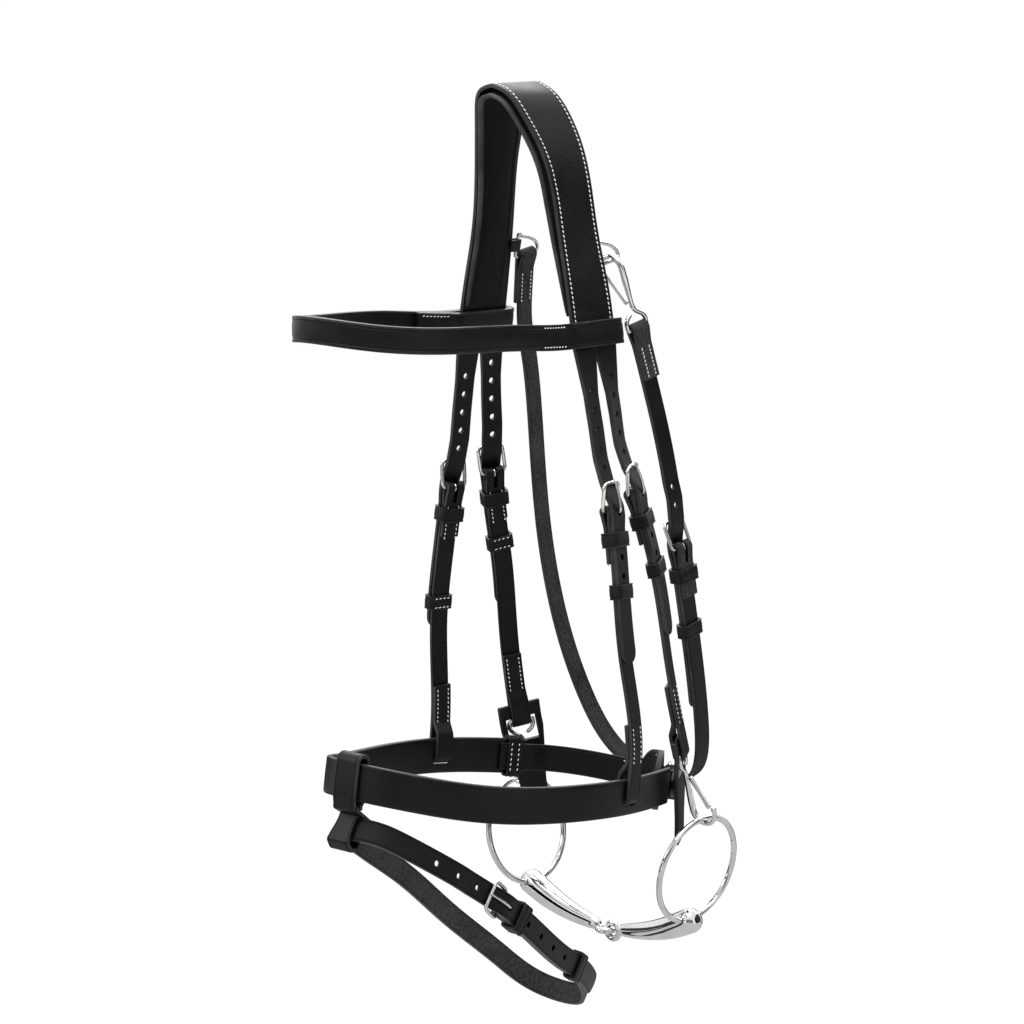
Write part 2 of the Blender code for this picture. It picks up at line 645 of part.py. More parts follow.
class Bridle:
    """Builds the parts in order."""

    def __init__(self):
        self.noseband = noseband_line()
        self.lines = {}
        self.layout()

    def layout(self):
        """Settles each strap line, the lower ends on what they hold."""
        for side, sign in SIDES:
            route = [head_point(share) for share in HANGER_SHARES]
            end = Vector((route[-1].x * sign, route[-1].y, route[-1].z))
            span = (0.5, 1.0) if sign > 0 else (0.0, 0.5)
            s = nearest_s(self.noseband, end, *span)
            place, _, out, across = self.noseband.frame(s)
            top = place + out * BAND_SEAT + across * (NOSEBAND_WIDTH / 2)
            low = place + out * BAND_SEAT
            yaw = math.degrees(math.atan2(out.y, abs(out.x)))
            if sign < 0:
                top = mirrored([top])[0]
                low = mirrored([low])[0]
            points = route[:-1] + [top + (top - low), top, low]
            yaws = [10, 10, 12, 14, 10, yaw, yaw, yaw]
            self.lines["hanger_" + side] = side_line(points, yaws, sign)
            self.lines["hanger_slot_" + side] = s
            cheek = [head_point(share) for share in CHEEK_SHARES]
            self.lines["cheek_" + side] = side_line(cheek, [12, 20, 24, 26, 28, 28], sign)

    def buckle(self, kind, side):
        """The buckle of a hanger or a cheek line."""
        line = self.lines[kind + "_" + side]
        share = HANGER_HEEL_SHARE if kind == "hanger" else CHEEK_HEEL_SHARE
        return Buckle(line, line.share(share))

    def headpiece(self):
        """The crown strap with its four billets, one leather body."""
        front = smooth_samples([head_point(p) for p in CROWN_FRONT_SHARES], 14)
        rear = smooth_samples([head_point(p) for p in CROWN_REAR_SHARES], 14)
        self.crown = [(Vector(f), Vector(r)) for f, r in zip(front, rear)]
        t = LEATHER / 2
        sides = {}
        for side, sign in SIDES:
            rows = []
            count = len(self.crown)
            for i, (f, r) in enumerate(self.crown):
                way = self.crown[min(i + 1, count - 1)][0] - self.crown[max(i - 1, 0)][0]
                if i == 0:
                    way = Vector((1, 0, 0))
                out = way.cross(r - f).normalized()
                if out.x * 0.5 + out.z < 0:
                    out = -out
                middle = (f + r) / 2
                half_slit = (r - f) * (GAP / (r - f).length)
                columns = (f, middle - half_slit, middle + half_slit, r)
                rows.append([(c + out * t, c - out * t) for c in columns])
            billets = {}
            for kind in ("hanger", "cheek"):
                buckle = self.buckle(kind, "near")
                line = buckle.line
                path = eased([(STEP, 0.0), (buckle.heel - BUCKLE_LENGTH * 3, 0.0)] + buckle.billet_over()
                             + [(buckle.heel + BILLET_TAIL, LEATHER + GAP)])
                path = finer(path, STEP * 1.4)
                billets[kind] = strap_rings(line, path, BILLET_WIDTH, tip=True)
            sides[side] = (rows, billets, sign)
        bm = bmesh.new()
        crown_row = None
        for side, (rows, billets, sign) in sides.items():
            crown_row = self.headpiece_side(bm, rows, billets, sign, crown_row)
        bmesh.ops.recalc_face_normals(bm, faces=bm.faces)
        mesh = bpy.data.meshes.new("headpiece")
        bm.to_mesh(mesh)
        bm.free()
        obj = link(mesh, "headpiece", "leather")
        for kind in ("hanger", "cheek"):
            for side, _ in SIDES:
                buckle = self.buckle(kind, side)
                spots = []
                for k in range(HOLE_COUNT):
                    spots.append((buckle.heel - BUCKLE_LENGTH - HOLE_PITCH * (k + 0.8), 0.0))
                spots.append(buckle.pierced())
                for k in range(2):
                    spots.append((buckle.heel + FIXED_KEEPER_AT + HOLE_PITCH * (k + 0.9), LEATHER + GAP))
                cut(obj, hole_cutter(kind + "_holes_" + side, buckle.line, spots, LEATHER * 2))

    @staticmethod
    def headpiece_side(bm, rows, billets, sign, crown_row):
        """One side of the headpiece: four columns to the split, then two billets of eight-point rings."""
        def place(p):
            return bm.verts.new((p.x * sign, p.y, p.z))

        grid = []
        for i, row in enumerate(rows):
            if i == 0 and crown_row:
                grid.append(crown_row)
                continue
            grid.append([(place(o), place(n)) for o, n in row])
        for above, below in zip(grid, grid[1:]):
            for c in range(3):
                bm.faces.new((above[c][0], above[c + 1][0], below[c + 1][0], below[c][0]))
                bm.faces.new((above[c][1], above[c + 1][1], below[c + 1][1], below[c][1]))
            bm.faces.new((above[0][0], below[0][0], below[0][1], above[0][1]))
            bm.faces.new((above[3][0], below[3][0], below[3][1], above[3][1]))
        last = grid[-1]
        bm.faces.new((last[1][0], last[2][0], last[2][1], last[1][1]))
        for kind, first in (("hanger", 0), ("cheek", 2)):
            rings = [[place(p) for p in ring] for ring in billets[kind]]
            root = [last[first][1], last[first][0], last[first + 1][0], last[first + 1][1]]
            top = rings[0]
            pairs = ((0, 1), (2, 3), (4, 5), (6, 7))
            for k in range(4):
                a, b = pairs[k]
                after = pairs[(k + 1) % 4][0]
                bm.faces.new((root[k], top[a], top[b]))
                bm.faces.new((root[k], top[b], top[after], root[(k + 1) % 4]))
            for here, there in zip(rings, rings[1:]):
                for k in range(8):
                    bm.faces.new((here[k], here[(k + 1) % 8], there[(k + 1) % 8], there[k]))
            bm.faces.new(rings[-1])
        return grid[0]

    def padding(self):
        """The soft roll under the crown, crowned in its middle and drawn in at its edges."""
        rows = self.crown
        count = len(rows)
        stop = int((count - 1) * PAD_END_SHARE)
        halves = []
        for i in range(stop + 1):
            f, r = rows[i]
            way = rows[i + 1][0] - rows[max(i - 1, 0)][0]
            if i == 0:
                way = Vector((1, 0, 0))
            across = (r - f).normalized()
            out = way.cross(across).normalized()
            if out.x * 0.5 + out.z < 0:
                out = -out
            front = f - across * PAD_FRONT_OVER
            rear = r - across * PAD_REAR_INSET
            middle = (front + rear) / 2 - out * (LEATHER / 2 + GAP * 2 + PAD_THICK / 2)
            half = (rear - front) / 2
            ring = []
            for k in range(PAD_SIDES):
                angle = math.tau * (k + 0.5) / PAD_SIDES
                u = math.cos(angle)
                v = math.sin(angle)
                wide = math.copysign(abs(u) ** 0.5, u)
                deep = math.copysign(abs(v) ** 0.7, v)
                ring.append(middle + half * wide + out * (PAD_THICK / 2 * deep))
            halves.append(ring)
        far = [[Vector((-p.x, p.y, p.z)) for p in ring] for ring in halves[:0:-1]]
        link(rings_to_mesh("headpiece_padding", far + halves, False), "headpiece_padding", "padding", 60.0)

    def crown_frame(self, share, sign):
        """The headpiece's place and directions at a share of the way down to its split."""
        count = len(self.crown)
        i = min(int(share * (count - 1)), count - 2)
        part = share * (count - 1) - i
        f = self.crown[i][0].lerp(self.crown[i + 1][0], part)
        r = self.crown[i][1].lerp(self.crown[i + 1][1], part)
        front_step = self.crown[i + 1][0] - self.crown[i][0]
        rear_step = self.crown[i + 1][1] - self.crown[i][1]
        down = (front_step + rear_step).normalized()
        across = (r - f).normalized()
        down = (down - across * down.dot(across)).normalized()
        out = down.cross(across).normalized()
        if out.x < 0:
            out = -out
        middle = (f + r) / 2
        if sign < 0:
            middle, down, across, out = mirrored([middle, down, across, out])
        return middle, down, across, out, (r - f).length

    def browband(self):
        """The browband, each end folded round the headpiece and sewn to its own inner face."""
        seat = LEATHER / 2 + GAP * 2 + BROWBAND_THICK / 2
        middle, down, across, out, width = self.crown_frame(BROWBAND_SHARE, 1.0)
        end = [middle + out * seat + across * (width * share) for share in (-0.75, -0.25, 0.25, 0.75)]
        half = [head_point(share) for share in BROWBAND_SHARES] + end
        tops = [Vector((0, 0, 1))] * len(BROWBAND_SHARES) + [-down] * len(end)
        points = mirrored(half[:0:-1]) + half
        line = Line(points, mirrored(tops[:0:-1]) + tops, 1.0)
        back = line.length - width * 0.25 + GAP
        lie = -(BROWBAND_THICK + GAP)
        near_end = arc(back, -seat, seat, 90, -90, 6)
        front = back - width - BROWBAND_THICK
        near_end += [(front, -2 * seat), (front - BROWBAND_THICK * 2, lie), (front - BROWBAND_LOOP_BACK, lie)]
        far_end = [(line.length - s, n) for s, n in near_end][::-1]
        strap("browband", line, finer(far_end + near_end, STEP), BROWBAND_WIDTH, thick=BROWBAND_THICK)

    def dees(self):
        """A dee ring at each rear edge of the headpiece, its side held in a folded tab."""
        self.dee_bars = {}
        for side, sign in SIDES:
            middle, down, across, out, width = self.crown_frame(DEE_SHARE, sign)
            thin = LEATHER / 2
            fold = DEE_WIRE + GAP + thin / 2
            edge = middle + across * (width / 2 + DEE_WIRE) - out * (LEATHER / 2 + GAP + thin / 2 + fold)
            c = DEE_CORNER
            low = DEE_HEIGHT / 2
            hang_at = DEE_REACH * DEE_HANG_SHARE
            end = low - (DEE_REACH - c * 2) * DEE_SLANT
            lower = [(0.0, low - c), (c * 0.3, low - c * 0.3), (c, low),
                     (hang_at, low - (hang_at - c) * DEE_SLANT),
                     (DEE_REACH - c, end), (DEE_REACH - c * 0.3, end - c * 0.3), (DEE_REACH, end - c)]
            outline = lower + [(a, -d) for a, d in reversed(lower)]
            points = [edge + across * a + down * d for a, d in outline]
            wire("dee_ring_" + side, points, DEE_WIRE, "nickel", 6, True)
            bar = edge + across * hang_at + down * (low - (hang_at - c) * DEE_SLANT)
            self.dee_bars[side] = (bar, (across - down * DEE_SLANT).normalized(), out)
            run = Line([edge - across * DEE_TAB_LENGTH, edge, edge + across * DEE_TAB_LENGTH], down, 1.0)
            path = [(0.0, fold)] + arc(DEE_TAB_LENGTH, 0.0, fold, 90, -90, 6) + [(0.0, -fold)]
            strap("dee_tab_" + side, run, path, DEE_TAB_WIDTH, thick=thin)

    def noseband_parts(self):
        """The noseband with its hanger slots, and behind it the narrow strap, its buckle and the chin pad."""
        line = self.noseband
        near_end = line.share(NOSEBAND_NEAR_SHARE)
        far_end = line.share(NOSEBAND_FAR_SHARE)
        path = finer([(far_end, 0.0), (near_end, 0.0)], BAND_STEP)
        obj = strap("noseband", line, path, NOSEBAND_WIDTH, thick=NOSEBAND_THICK)
        half = STRAP_WIDTH / 2 + SLOT_SIDE_ROOM
        deep = NOSEBAND_THICK
        for side, _ in SIDES:
            s = self.lines["hanger_slot_" + side]
            reach = (-BAND_SEAT - LEATHER / 2 - GAP * 2, -SLOT_TOP)
            cut(obj, box_cutter("slot_" + side, line, (s - half, s + half), (-deep, deep), reach))
        billet = REAR_STRAP_WIDTH + BUCKLE_SPARE
        buckle = Buckle(line, near_end + REAR_HEEL_BACK, REAR_STRAP_WIDTH, -1.0, billet)
        buckle.frame("noseband_buckle")
        buckle.tongue("noseband_tongue")
        sewn = NOSEBAND_THICK + LEATHER * 6
        under = [(near_end + LEATHER * 5, 0.0), (near_end + LEATHER * 2, -BAND_SEAT),
                 (near_end - sewn, -BAND_SEAT)]
        obj = strap("noseband_chape", line, finer(buckle.lower_path() + under), REAR_STRAP_WIDTH)
        cut(obj, buckle.tongue_slot("chape_slot"))
        end = far_end + line.length
        path = [(end + sewn, -BAND_SEAT), (end - LEATHER * 2, -BAND_SEAT), (end - LEATHER * 6, 0.0)]
        path += [(buckle.heel + BUCKLE_LENGTH * 2, 0.0)] + buckle.billet_over()
        path = finer(eased(path + [(buckle.heel - REAR_TAIL, LEATHER + GAP)], 1))
        obj = strap("noseband_rear_strap", line, path, REAR_STRAP_WIDTH, tip=True)
        spots = [buckle.pierced()]
        spots += [(buckle.heel + BUCKLE_LENGTH + HOLE_PITCH * (k + 0.9), 0.0) for k in range(2)]
        cut(obj, hole_cutter("rear_holes", line, spots, LEATHER * 2))
        buckle.keepers("noseband", 0.0)
        pad_n = -LEATHER / 2 - (LEATHER + KEEPER_THICK + GAP * 2) - GAP - CHIN_PAD_THICK / 2
        middle = buckle.heel
        reach = CHIN_PAD_LENGTH / 2
        path = finer([(middle - reach, pad_n), (middle + reach, pad_n)], BAND_STEP / 2)
        strap("chin_pad", line, path, CHIN_PAD_WIDTH, "padding", thick=CHIN_PAD_THICK,
              tip=True, start_tip=True)
        band = NOSEBAND_THICK / 2 + GAP
        keeper("noseband_rear_loop", line, far_end + KEEPER_LENGTH, -BAND_SEAT - LEATHER / 2 - GAP, band,
               NOSEBAND_WIDTH / 2 + GAP)

    def hangers(self):
        """The noseband hangers and the cheekpieces with their buckles and keepers."""
        seat = BAND_SEAT
        lie = -(LEATHER + GAP)
        for side, _ in SIDES:
            buckle = self.buckle("hanger", side)
            line = buckle.line
            buckle.frame("hanger_buckle_" + side)
            buckle.tongue("hanger_tongue_" + side)
            end = line.length
            above = end - NOSEBAND_WIDTH / 2 - LEATHER
            path = buckle.lower_path() + [(above, 0.0)] + arc(end, -seat, seat, 90, -90, 6)
            path += [(above, -2 * seat), (above - LEATHER * 3, lie), (above - FOLD_RETURN, lie)]
            obj = strap("noseband_hanger_" + side, line, finer(path), STRAP_WIDTH)
            cut(obj, buckle.tongue_slot("hanger_tongue_slot_" + side))
            runner = NEAR_HANGER_RUNNER_AT if side == "near" else FAR_HANGER_RUNNER_AT
            buckle.keepers("hanger_" + side, runner)

            buckle = self.buckle("cheek", side)
            line = buckle.line
            buckle.frame("cheek_buckle_" + side)
            buckle.tongue("cheek_tongue_" + side)
            end = line.length
            fold = CLIP_WIRE + GAP + LEATHER / 2
            above = end - GUARD_ABOVE - LEATHER
            path = buckle.lower_path() + [(above, 0.0)] + arc(end, -fold, fold, 90, -90, 6)
            path += [(above, -2 * fold), (above - LEATHER * 3, lie), (above - FOLD_RETURN, lie)]
            obj = strap("cheekpiece_" + side, line, finer(path), STRAP_WIDTH)
            cut(obj, buckle.tongue_slot("cheek_tongue_slot_" + side))
            buckle.keepers("cheek_" + side)
            self.guard(line, side, fold)

    def guard(self, line, side, fold):
        """The leather tab that hangs in the cheekpiece's fold behind the bit clip."""
        end = line.length
        clear = CLIP_WIRE + GUARD_THICK / 2 + GAP * 2
        path = [(end - GUARD_ABOVE, -fold), (end, -fold), (end + GUARD_CLEAR_AT, -fold - clear),
                (end + GUARD_BELOW, -fold - clear - GUARD_SET_IN)]
        path = finer(path)
        rings = []
        for i, (s, n) in enumerate(path):
            part = (s - path[0][0]) / (path[-1][0] - path[0][0])
            wide = GUARD_TOP_WIDTH + (GUARD_LOW_WIDTH - GUARD_TOP_WIDTH) * min(1.0, max(0.0, part * 2 - 0.5))
            place, along, out, across = line.frame(s)
            before = path[max(i - 1, 0)]
            after = path[min(i + 1, len(path) - 1)]
            thick_dir = (out * (after[0] - before[0]) - along * (after[1] - before[1])).normalized()
            rings.append(soft_box_ring(place + out * n, thick_dir, across, GUARD_THICK, wide))
        obj = link(rings_to_mesh("clip_guard_" + side, rings, False), "clip_guard_" + side, "leather")
        eye = STRAP_WIDTH / 2 + GAP + CLIP_WIRE * 2 + GAP * 2
        cut(obj, box_cutter("guard_slot_" + side, line, (end - CLIP_WIRE - GAP * 2, end + GUARD_CLEAR_AT),
                            (-fold * 4, fold), (-eye, eye)))

    def clip(self, name, bar, across, down, way):
        """A snap clip hung on a fold: a bent wire body with an eye and a hook, and its sprung gate."""
        eye = STRAP_WIDTH / 2 + GAP + CLIP_WIRE
        low = CLIP_EYE_HEIGHT
        c = CLIP_WIRE
        hook = CLIP_HOOK_RADIUS
        deep = CLIP_LENGTH - hook
        bends = [(c * 1.8, 0.0, low), (eye * 0.75, 0.0, low * 0.84),
                 (eye, 0.0, low * 0.55), (eye, 0.0, c * 1.2),
                 (eye - c * 0.4, 0.0, c * 0.4), (eye - c * 1.4, 0.0, 0.0), (-eye + c * 1.4, 0.0, 0.0),
                 (-eye + c * 0.4, 0.0, c * 0.4), (-eye, 0.0, c * 1.2), (-eye, 0.0, low * 0.55),
                 (-eye * 0.75, 0.0, low * 0.84), (-c * 1.6, 0.0, low + c * 0.4),
                 (-c * 0.4, 0.0, low + c * 2.0),
                 (0.0, 0.0, low + c * 4.0), (0.0, 0.0, deep)]
        for k in range(1, 9):
            angle = math.radians(180 - 180 * k / 8)
            bends.append((0.0, hook + hook * math.cos(angle), deep + hook * math.sin(angle)))
        nib = deep - c * 2.2
        bends.append((0.0, hook * 2, nib))
        wire(name, [bar + across * x + way * w + down * y for x, w, y in bends], c, "steel", 8)
        pivot = bar + way * (c + CLIP_GATE_WIRE + GAP) + down * (low + c * 4.0)
        tip = bar + way * (hook * 2 - c - CLIP_GATE_WIRE - GAP) + down * (nib + CLIP_GATE_WIRE)
        gate = wire(name + "_gate", [pivot, pivot.lerp(tip, 0.5), tip], CLIP_GATE_WIRE, "steel", 8)
        hang(gate, pivot)
        return bar + down * CLIP_LENGTH + way * hook

    def bit(self):
        """The two bit clips, the rings hung on them and the jointed mouthpiece between the rings."""
        fold = CLIP_WIRE + GAP + LEATHER / 2
        ends = {}
        for side, sign in SIDES:
            line = self.lines["cheek_" + side]
            place, along, out, across = line.frame(line.length)
            bar = place - out * fold
            way = Vector((sign, 0, 0))
            way = (way - along * way.dot(along)).normalized()
            hook = self.clip("bit_clip_" + side, bar, across, along, way)
            rise = Vector((math.sin(RING_LEAN) * sign, 0, math.cos(RING_LEAN)))
            top = hook - along * (CLIP_WIRE + RING_WIRE + GAP)
            centre = top - rise * RING_RADIUS
            points = []
            for k in range(RING_STEPS):
                angle = math.tau * k / RING_STEPS
                way = rise * math.cos(angle) + Vector((0, math.sin(angle), 0))
                points.append(centre + way * RING_RADIUS)
            hang(wire("bit_ring_" + side, points, RING_WIRE, "steel", 8, True), centre)
            ends[side] = (centre - rise * RING_RADIUS, rise)
        near = ends["near"][0]
        joint = Vector((0.0, near.y, near.z - MOUTH_DROP))
        for side, sign in SIDES:
            self.mouth_half(side, sign, ends[side], joint)

    def mouth_half(self, side, sign, end, joint):
        """One tapered half of the mouthpiece, bored for its ring and ending in an eye of the middle link."""
        place, rise = end
        way = (joint - place).normalized()
        pull = MOUTH_EYE_RADIUS - MOUTH_EYE_WIRE - GAP / 2
        eye_at = joint + Vector((sign * pull, 0, 0))
        start = place - way * MOUTH_END_RADIUS
        stop = eye_at - way * MOUTH_EYE_RADIUS
        points = []
        radii = []
        for part, wide in MOUTH_PROFILE_SHARES:
            sag = math.sin(math.pi * part) * MOUTH_BOW
            points.append(start.lerp(stop, part) - Vector((0, 0, sag)))
            radii.append(MOUTH_NECK_RADIUS + (MOUTH_END_RADIUS - MOUTH_NECK_RADIUS) * wide)
        obj = wire("mouthpiece_" + side, points, radii, "steel", 14)
        turn = Vector((0, 1, 0)) if side == "near" else Vector((0, 0, 1))
        axis = Vector((1, 0, 0))
        other = turn.cross(axis)
        eye = []
        for k in range(16):
            angle = math.tau * k / 16
            eye.append(eye_at + (axis * math.cos(angle) + other * math.sin(angle)) * MOUTH_EYE_RADIUS)
        eye_mesh = rings_to_mesh("eye_" + side, tube_rings(eye, MOUTH_EYE_WIRE, 8, True), True)
        cut(obj, cutter(eye_mesh, "eye_" + side),
            "UNION")
        reach = RING_RADIUS * 0.45
        bore = []
        for k in range(13):
            angle = math.asin(reach / RING_RADIUS) * (k - 6) / 6
            centre = place + rise * RING_RADIUS
            bore.append(centre + (Vector((0, math.sin(angle), 0)) - rise * math.cos(angle)) * RING_RADIUS)
        name = "ring_bore_" + side
        cut(obj, cutter(rings_to_mesh(name, tube_rings(bore, RING_WIRE + BORE_ROOM, 12), False), name))
        hang(obj, joint)

    def throatlatch(self):
        """The throatlatch: its near billet on a snap clip, the buckle and the long strap to the far dee."""
        dee, near_across, near_out = self.dee_bars["near"]
        far, far_across, _ = self.dee_bars["far"]
        half = [head_point(share) for share in THROAT_SHARES]
        fall = mirrored(half[:1])[0] - far
        fall = (fall - far_across * fall.dot(far_across)).normalized()
        points = [dee + near_out * CLIP_HOOK_RADIUS] + half + mirrored(half[-2::-1])
        points += [far + fall * FOLD_FLARE, far]
        rise = (half[1] - half[-1]).normalized()
        plane = Vector((0, -rise.z, rise.y)) / math.hypot(rise.y, rise.z)
        across = [near_across] + [plane] * (len(points) - 2) + [far_across]
        line = Line(points, across, 1.0)
        self.lines["throat"] = line
        bar_s = CLIP_LENGTH - CLIP_WIRE - DEE_WIRE - GAP
        place, _, out, clip_across = line.frame(bar_s)
        fold = CLIP_WIRE + GAP + LEATHER / 2
        lie = -(LEATHER + GAP)
        bar = place + out * (lie / 2)
        rise = (line.frame(0.0)[0] - bar).normalized()
        way = -near_out
        way = (way - rise * way.dot(rise)).normalized()
        self.clip("throat_clip", bar, clip_across, rise, way)
        heel = bar_s + THROAT_HEEL_DROP
        buckle = Buckle(line, heel, billet_width=STRAP_WIDTH + BUCKLE_SPARE)
        buckle.frame("throat_buckle")
        buckle.tongue("throat_tongue")
        mid = lie / 2
        path = [(bar_s + FOLD_RETURN, lie), (bar_s + FOLD_FLARE, lie)]
        path += arc(bar_s, mid, fold, -70, -290, 8)
        path += [(bar_s + FOLD_FLARE, 0.0), (bar_s + FOLD_RETURN, 0.0), (heel - BUCKLE_LENGTH * 2.5, 0.0)]
        path += eased(buckle.billet_over() + [(heel + THROAT_TAIL, LEATHER + GAP)])
        obj = strap("throat_upper", line, finer(path), STRAP_WIDTH, tip=True)
        spots = [buckle.pierced()]
        spots += [(heel - BUCKLE_LENGTH - HOLE_PITCH * (k + 0.9), 0.0) for k in range(2)]
        spots += [(heel + HOLE_PITCH * (k * 1.6 + 2.3), LEATHER + GAP) for k in range(5)]
        cut(obj, hole_cutter("throat_holes", line, spots, LEATHER * 2))
        fold = DEE_WIRE + GAP + LEATHER / 2
        end = line.length
        path = buckle.lower_path() + [(end - FOLD_FLARE, 0.0)]
        path += arc(end, 0.0, fold, 110, -110, 8)
        path += [(end - FOLD_FLARE, lie), (end - FOLD_RETURN, lie)]
        obj = strap("throatlatch", line, finer(path), STRAP_WIDTH)
        cut(obj, buckle.tongue_slot("throat_tongue_slot"))
        buckle.keepers("throat", THROAT_RUNNER_AT)

    def flash(self):
        """The flash tab on the noseband's front and the flash strap that runs through its lower loop."""
        points = [head_point(share) for share in FLASH_SHARES]
        lengthwise = (points[8] - points[0]).normalized()
        sideways = (points[5] - points[11]).normalized()
        line = Line(points, sideways.cross(lengthwise).normalized(), 1.0, True)
        self.lines["flash"] = line
        heel = FLASH_BUCKLE_AT
        buckle = Buckle(line, heel, FLASH_WIDTH, 1.0, FLASH_WIDTH + BUCKLE_SPARE)
        buckle.frame("flash_buckle")
        buckle.tongue("flash_tongue")
        turn = line.length
        over = [(turn + s, n) for s, n in buckle.billet_over()]
        path = buckle.lower_path() + [(turn + heel - BUCKLE_LENGTH * 2.5, 0.0)]
        path += eased(over + [(turn + heel + FLASH_TAIL, LEATHER + GAP)])
        obj = strap("flash_strap", line, finer(path), FLASH_WIDTH, tip=True)
        cut(obj, buckle.tongue_slot("flash_tongue_slot"))
        spots = [buckle.pierced()]
        spots += [(heel - BUCKLE_LENGTH - HOLE_PITCH * (k * 1.5 + 0.8), 0.0) for k in range(3)]
        cut(obj, hole_cutter("flash_holes", line, spots, LEATHER * 2))
        spots = [(heel + HOLE_PITCH * (k * 1.5 + 2.2), LEATHER + GAP) for k in range(4)]
        cut(obj, hole_cutter("flash_tail_holes", line, spots, LEATHER * 2))
        buckle.keepers("flash", FLASH_RUNNER_AT)
        self.flash_tab(line)

    def flash_tab(self, line):
        """The tab sewn round the noseband's front, its lower loop round the flash strap."""
        middle = self.noseband.length / 2
        place, nose_along, nose_out, nose_up = self.noseband.frame(middle)
        band = nose_up * NOSEBAND_WIDTH
        tab = Line([place + band, place, place - band * 2], nose_along, 1.0)
        zero = NOSEBAND_WIDTH
        half = NOSEBAND_WIDTH / 2
        lie = LEATHER + GAP
        bow = (place - self.noseband.at(middle + FLASH_TAB_WIDTH / 2)).dot(nose_out)
        core, _, strap_out, strap_up = line.frame(0.0)
        strap_bow = max((core - line.at(FLASH_TAB_WIDTH * part)).dot(strap_out) for part in (-0.5, 0.5))
        tab_place, tab_down, tab_out, _ = tab.frame(zero)
        wide = FLASH_WIDTH / 2 + lie * 0.8
        outer = lie + GAP
        inner = -outer - strap_bow * 2

        def beside(up, far):
            """A stop beside the flash strap, as (s, n) of the tab's line."""
            spot = core + strap_up * up + strap_out * far - tab_place
            return spot.dot(tab_down), spot.dot(tab_out)

        inside = BAND_SEAT + bow + GAP
        path = [(half + lie + FLASH_TAB_SEAM, -lie), (half + lie, -lie),
                (half - lie / 2, -inside), (-half, -inside)]
        path += arc(-half, (BAND_SEAT - inside) / 2, (BAND_SEAT + inside) / 2, -90, -270, 6)[1:]
        path += [(half - lie / 2, BAND_SEAT), (half + lie, lie), (half + lie + FLASH_TAB_SEAM, lie)]
        path += [beside(wide, outer), beside(-wide, outer), beside(-wide - lie, (outer + inner) / 2)]
        path += [beside(-wide, inner), beside(wide, inner)]
        path += [(half + lie + FLASH_TAB_SEAM, 0.0), (half + lie + GAP * 2, 0.0)]
        strap("flash_tab", tab, [(zero + s, n) for s, n in path], FLASH_TAB_WIDTH)


def build():
    """Builds the whole bridle."""
    clear_scene()
    bridle = Bridle()
    bridle.headpiece()
    bridle.padding()
    bridle.browband()
    bridle.dees()
    bridle.hangers()
    bridle.noseband_parts()
    bridle.bit()
    bridle.throatlatch()
    bridle.flash()


build()
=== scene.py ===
"""The looks of a horse bridle: leatherwork, stitching, buckles, snap clips and bit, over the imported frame.

Metres, +Z up, in the frame's own place. The horse faces -Y and its near (left) side is +X.
"""

import json
import logging
import math
from dataclasses import dataclass, field
from enum import Enum
from typing import Callable, Sequence

import bpy
import numpy as np
from mathutils import Matrix, Vector


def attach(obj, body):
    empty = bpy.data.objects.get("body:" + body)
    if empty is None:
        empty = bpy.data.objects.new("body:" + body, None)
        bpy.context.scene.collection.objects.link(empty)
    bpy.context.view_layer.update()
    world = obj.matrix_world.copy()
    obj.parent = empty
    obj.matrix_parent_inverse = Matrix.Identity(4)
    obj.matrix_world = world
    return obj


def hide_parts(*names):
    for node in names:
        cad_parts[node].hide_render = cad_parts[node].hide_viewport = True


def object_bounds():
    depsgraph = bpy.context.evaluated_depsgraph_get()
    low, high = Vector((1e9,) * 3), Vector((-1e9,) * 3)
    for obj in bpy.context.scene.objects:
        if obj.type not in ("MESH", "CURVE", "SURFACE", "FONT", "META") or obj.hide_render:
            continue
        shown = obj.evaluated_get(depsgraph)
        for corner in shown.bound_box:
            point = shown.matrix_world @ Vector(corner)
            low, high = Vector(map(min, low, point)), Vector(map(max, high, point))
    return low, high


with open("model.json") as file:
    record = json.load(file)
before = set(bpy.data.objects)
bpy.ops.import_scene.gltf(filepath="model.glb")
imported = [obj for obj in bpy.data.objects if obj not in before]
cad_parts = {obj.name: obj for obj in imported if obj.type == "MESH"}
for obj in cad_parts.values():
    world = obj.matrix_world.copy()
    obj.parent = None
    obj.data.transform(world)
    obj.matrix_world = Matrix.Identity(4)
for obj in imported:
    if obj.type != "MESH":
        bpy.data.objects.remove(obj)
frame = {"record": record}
CAD_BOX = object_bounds()
LOG = logging.getLogger("bridle")
BODY_OF = {node: body for body, nodes in frame["record"]["behaviour"]["bodies"].items() for node in nodes}

Stop = tuple[float, float]
Share = tuple[float, float, float]
Colour = tuple[float, float, float]
Piece = bpy.types.Object
Socket = bpy.types.NodeSocket
WHITE = (1.0, 1.0, 1.0, 1.0)


class Side(Enum):
    """A side of the horse's head, with the sign of its X."""

    NEAR = 1.0
    FAR = -1.0

    @property
    def word(self) -> str:
        """The side's name in the frame's nodes."""
        return self.name.lower()


class Slot(Enum):
    """The record's material slots."""

    STRAP = "strap_leather"
    PAD = "pad_leather"
    NICKEL = "buckle_nickel"
    STEEL = "bit_steel"


class Face(Enum):
    """The side of a strap: its smooth grain side or its rough flesh side."""

    GRAIN = 0
    FLESH = 1


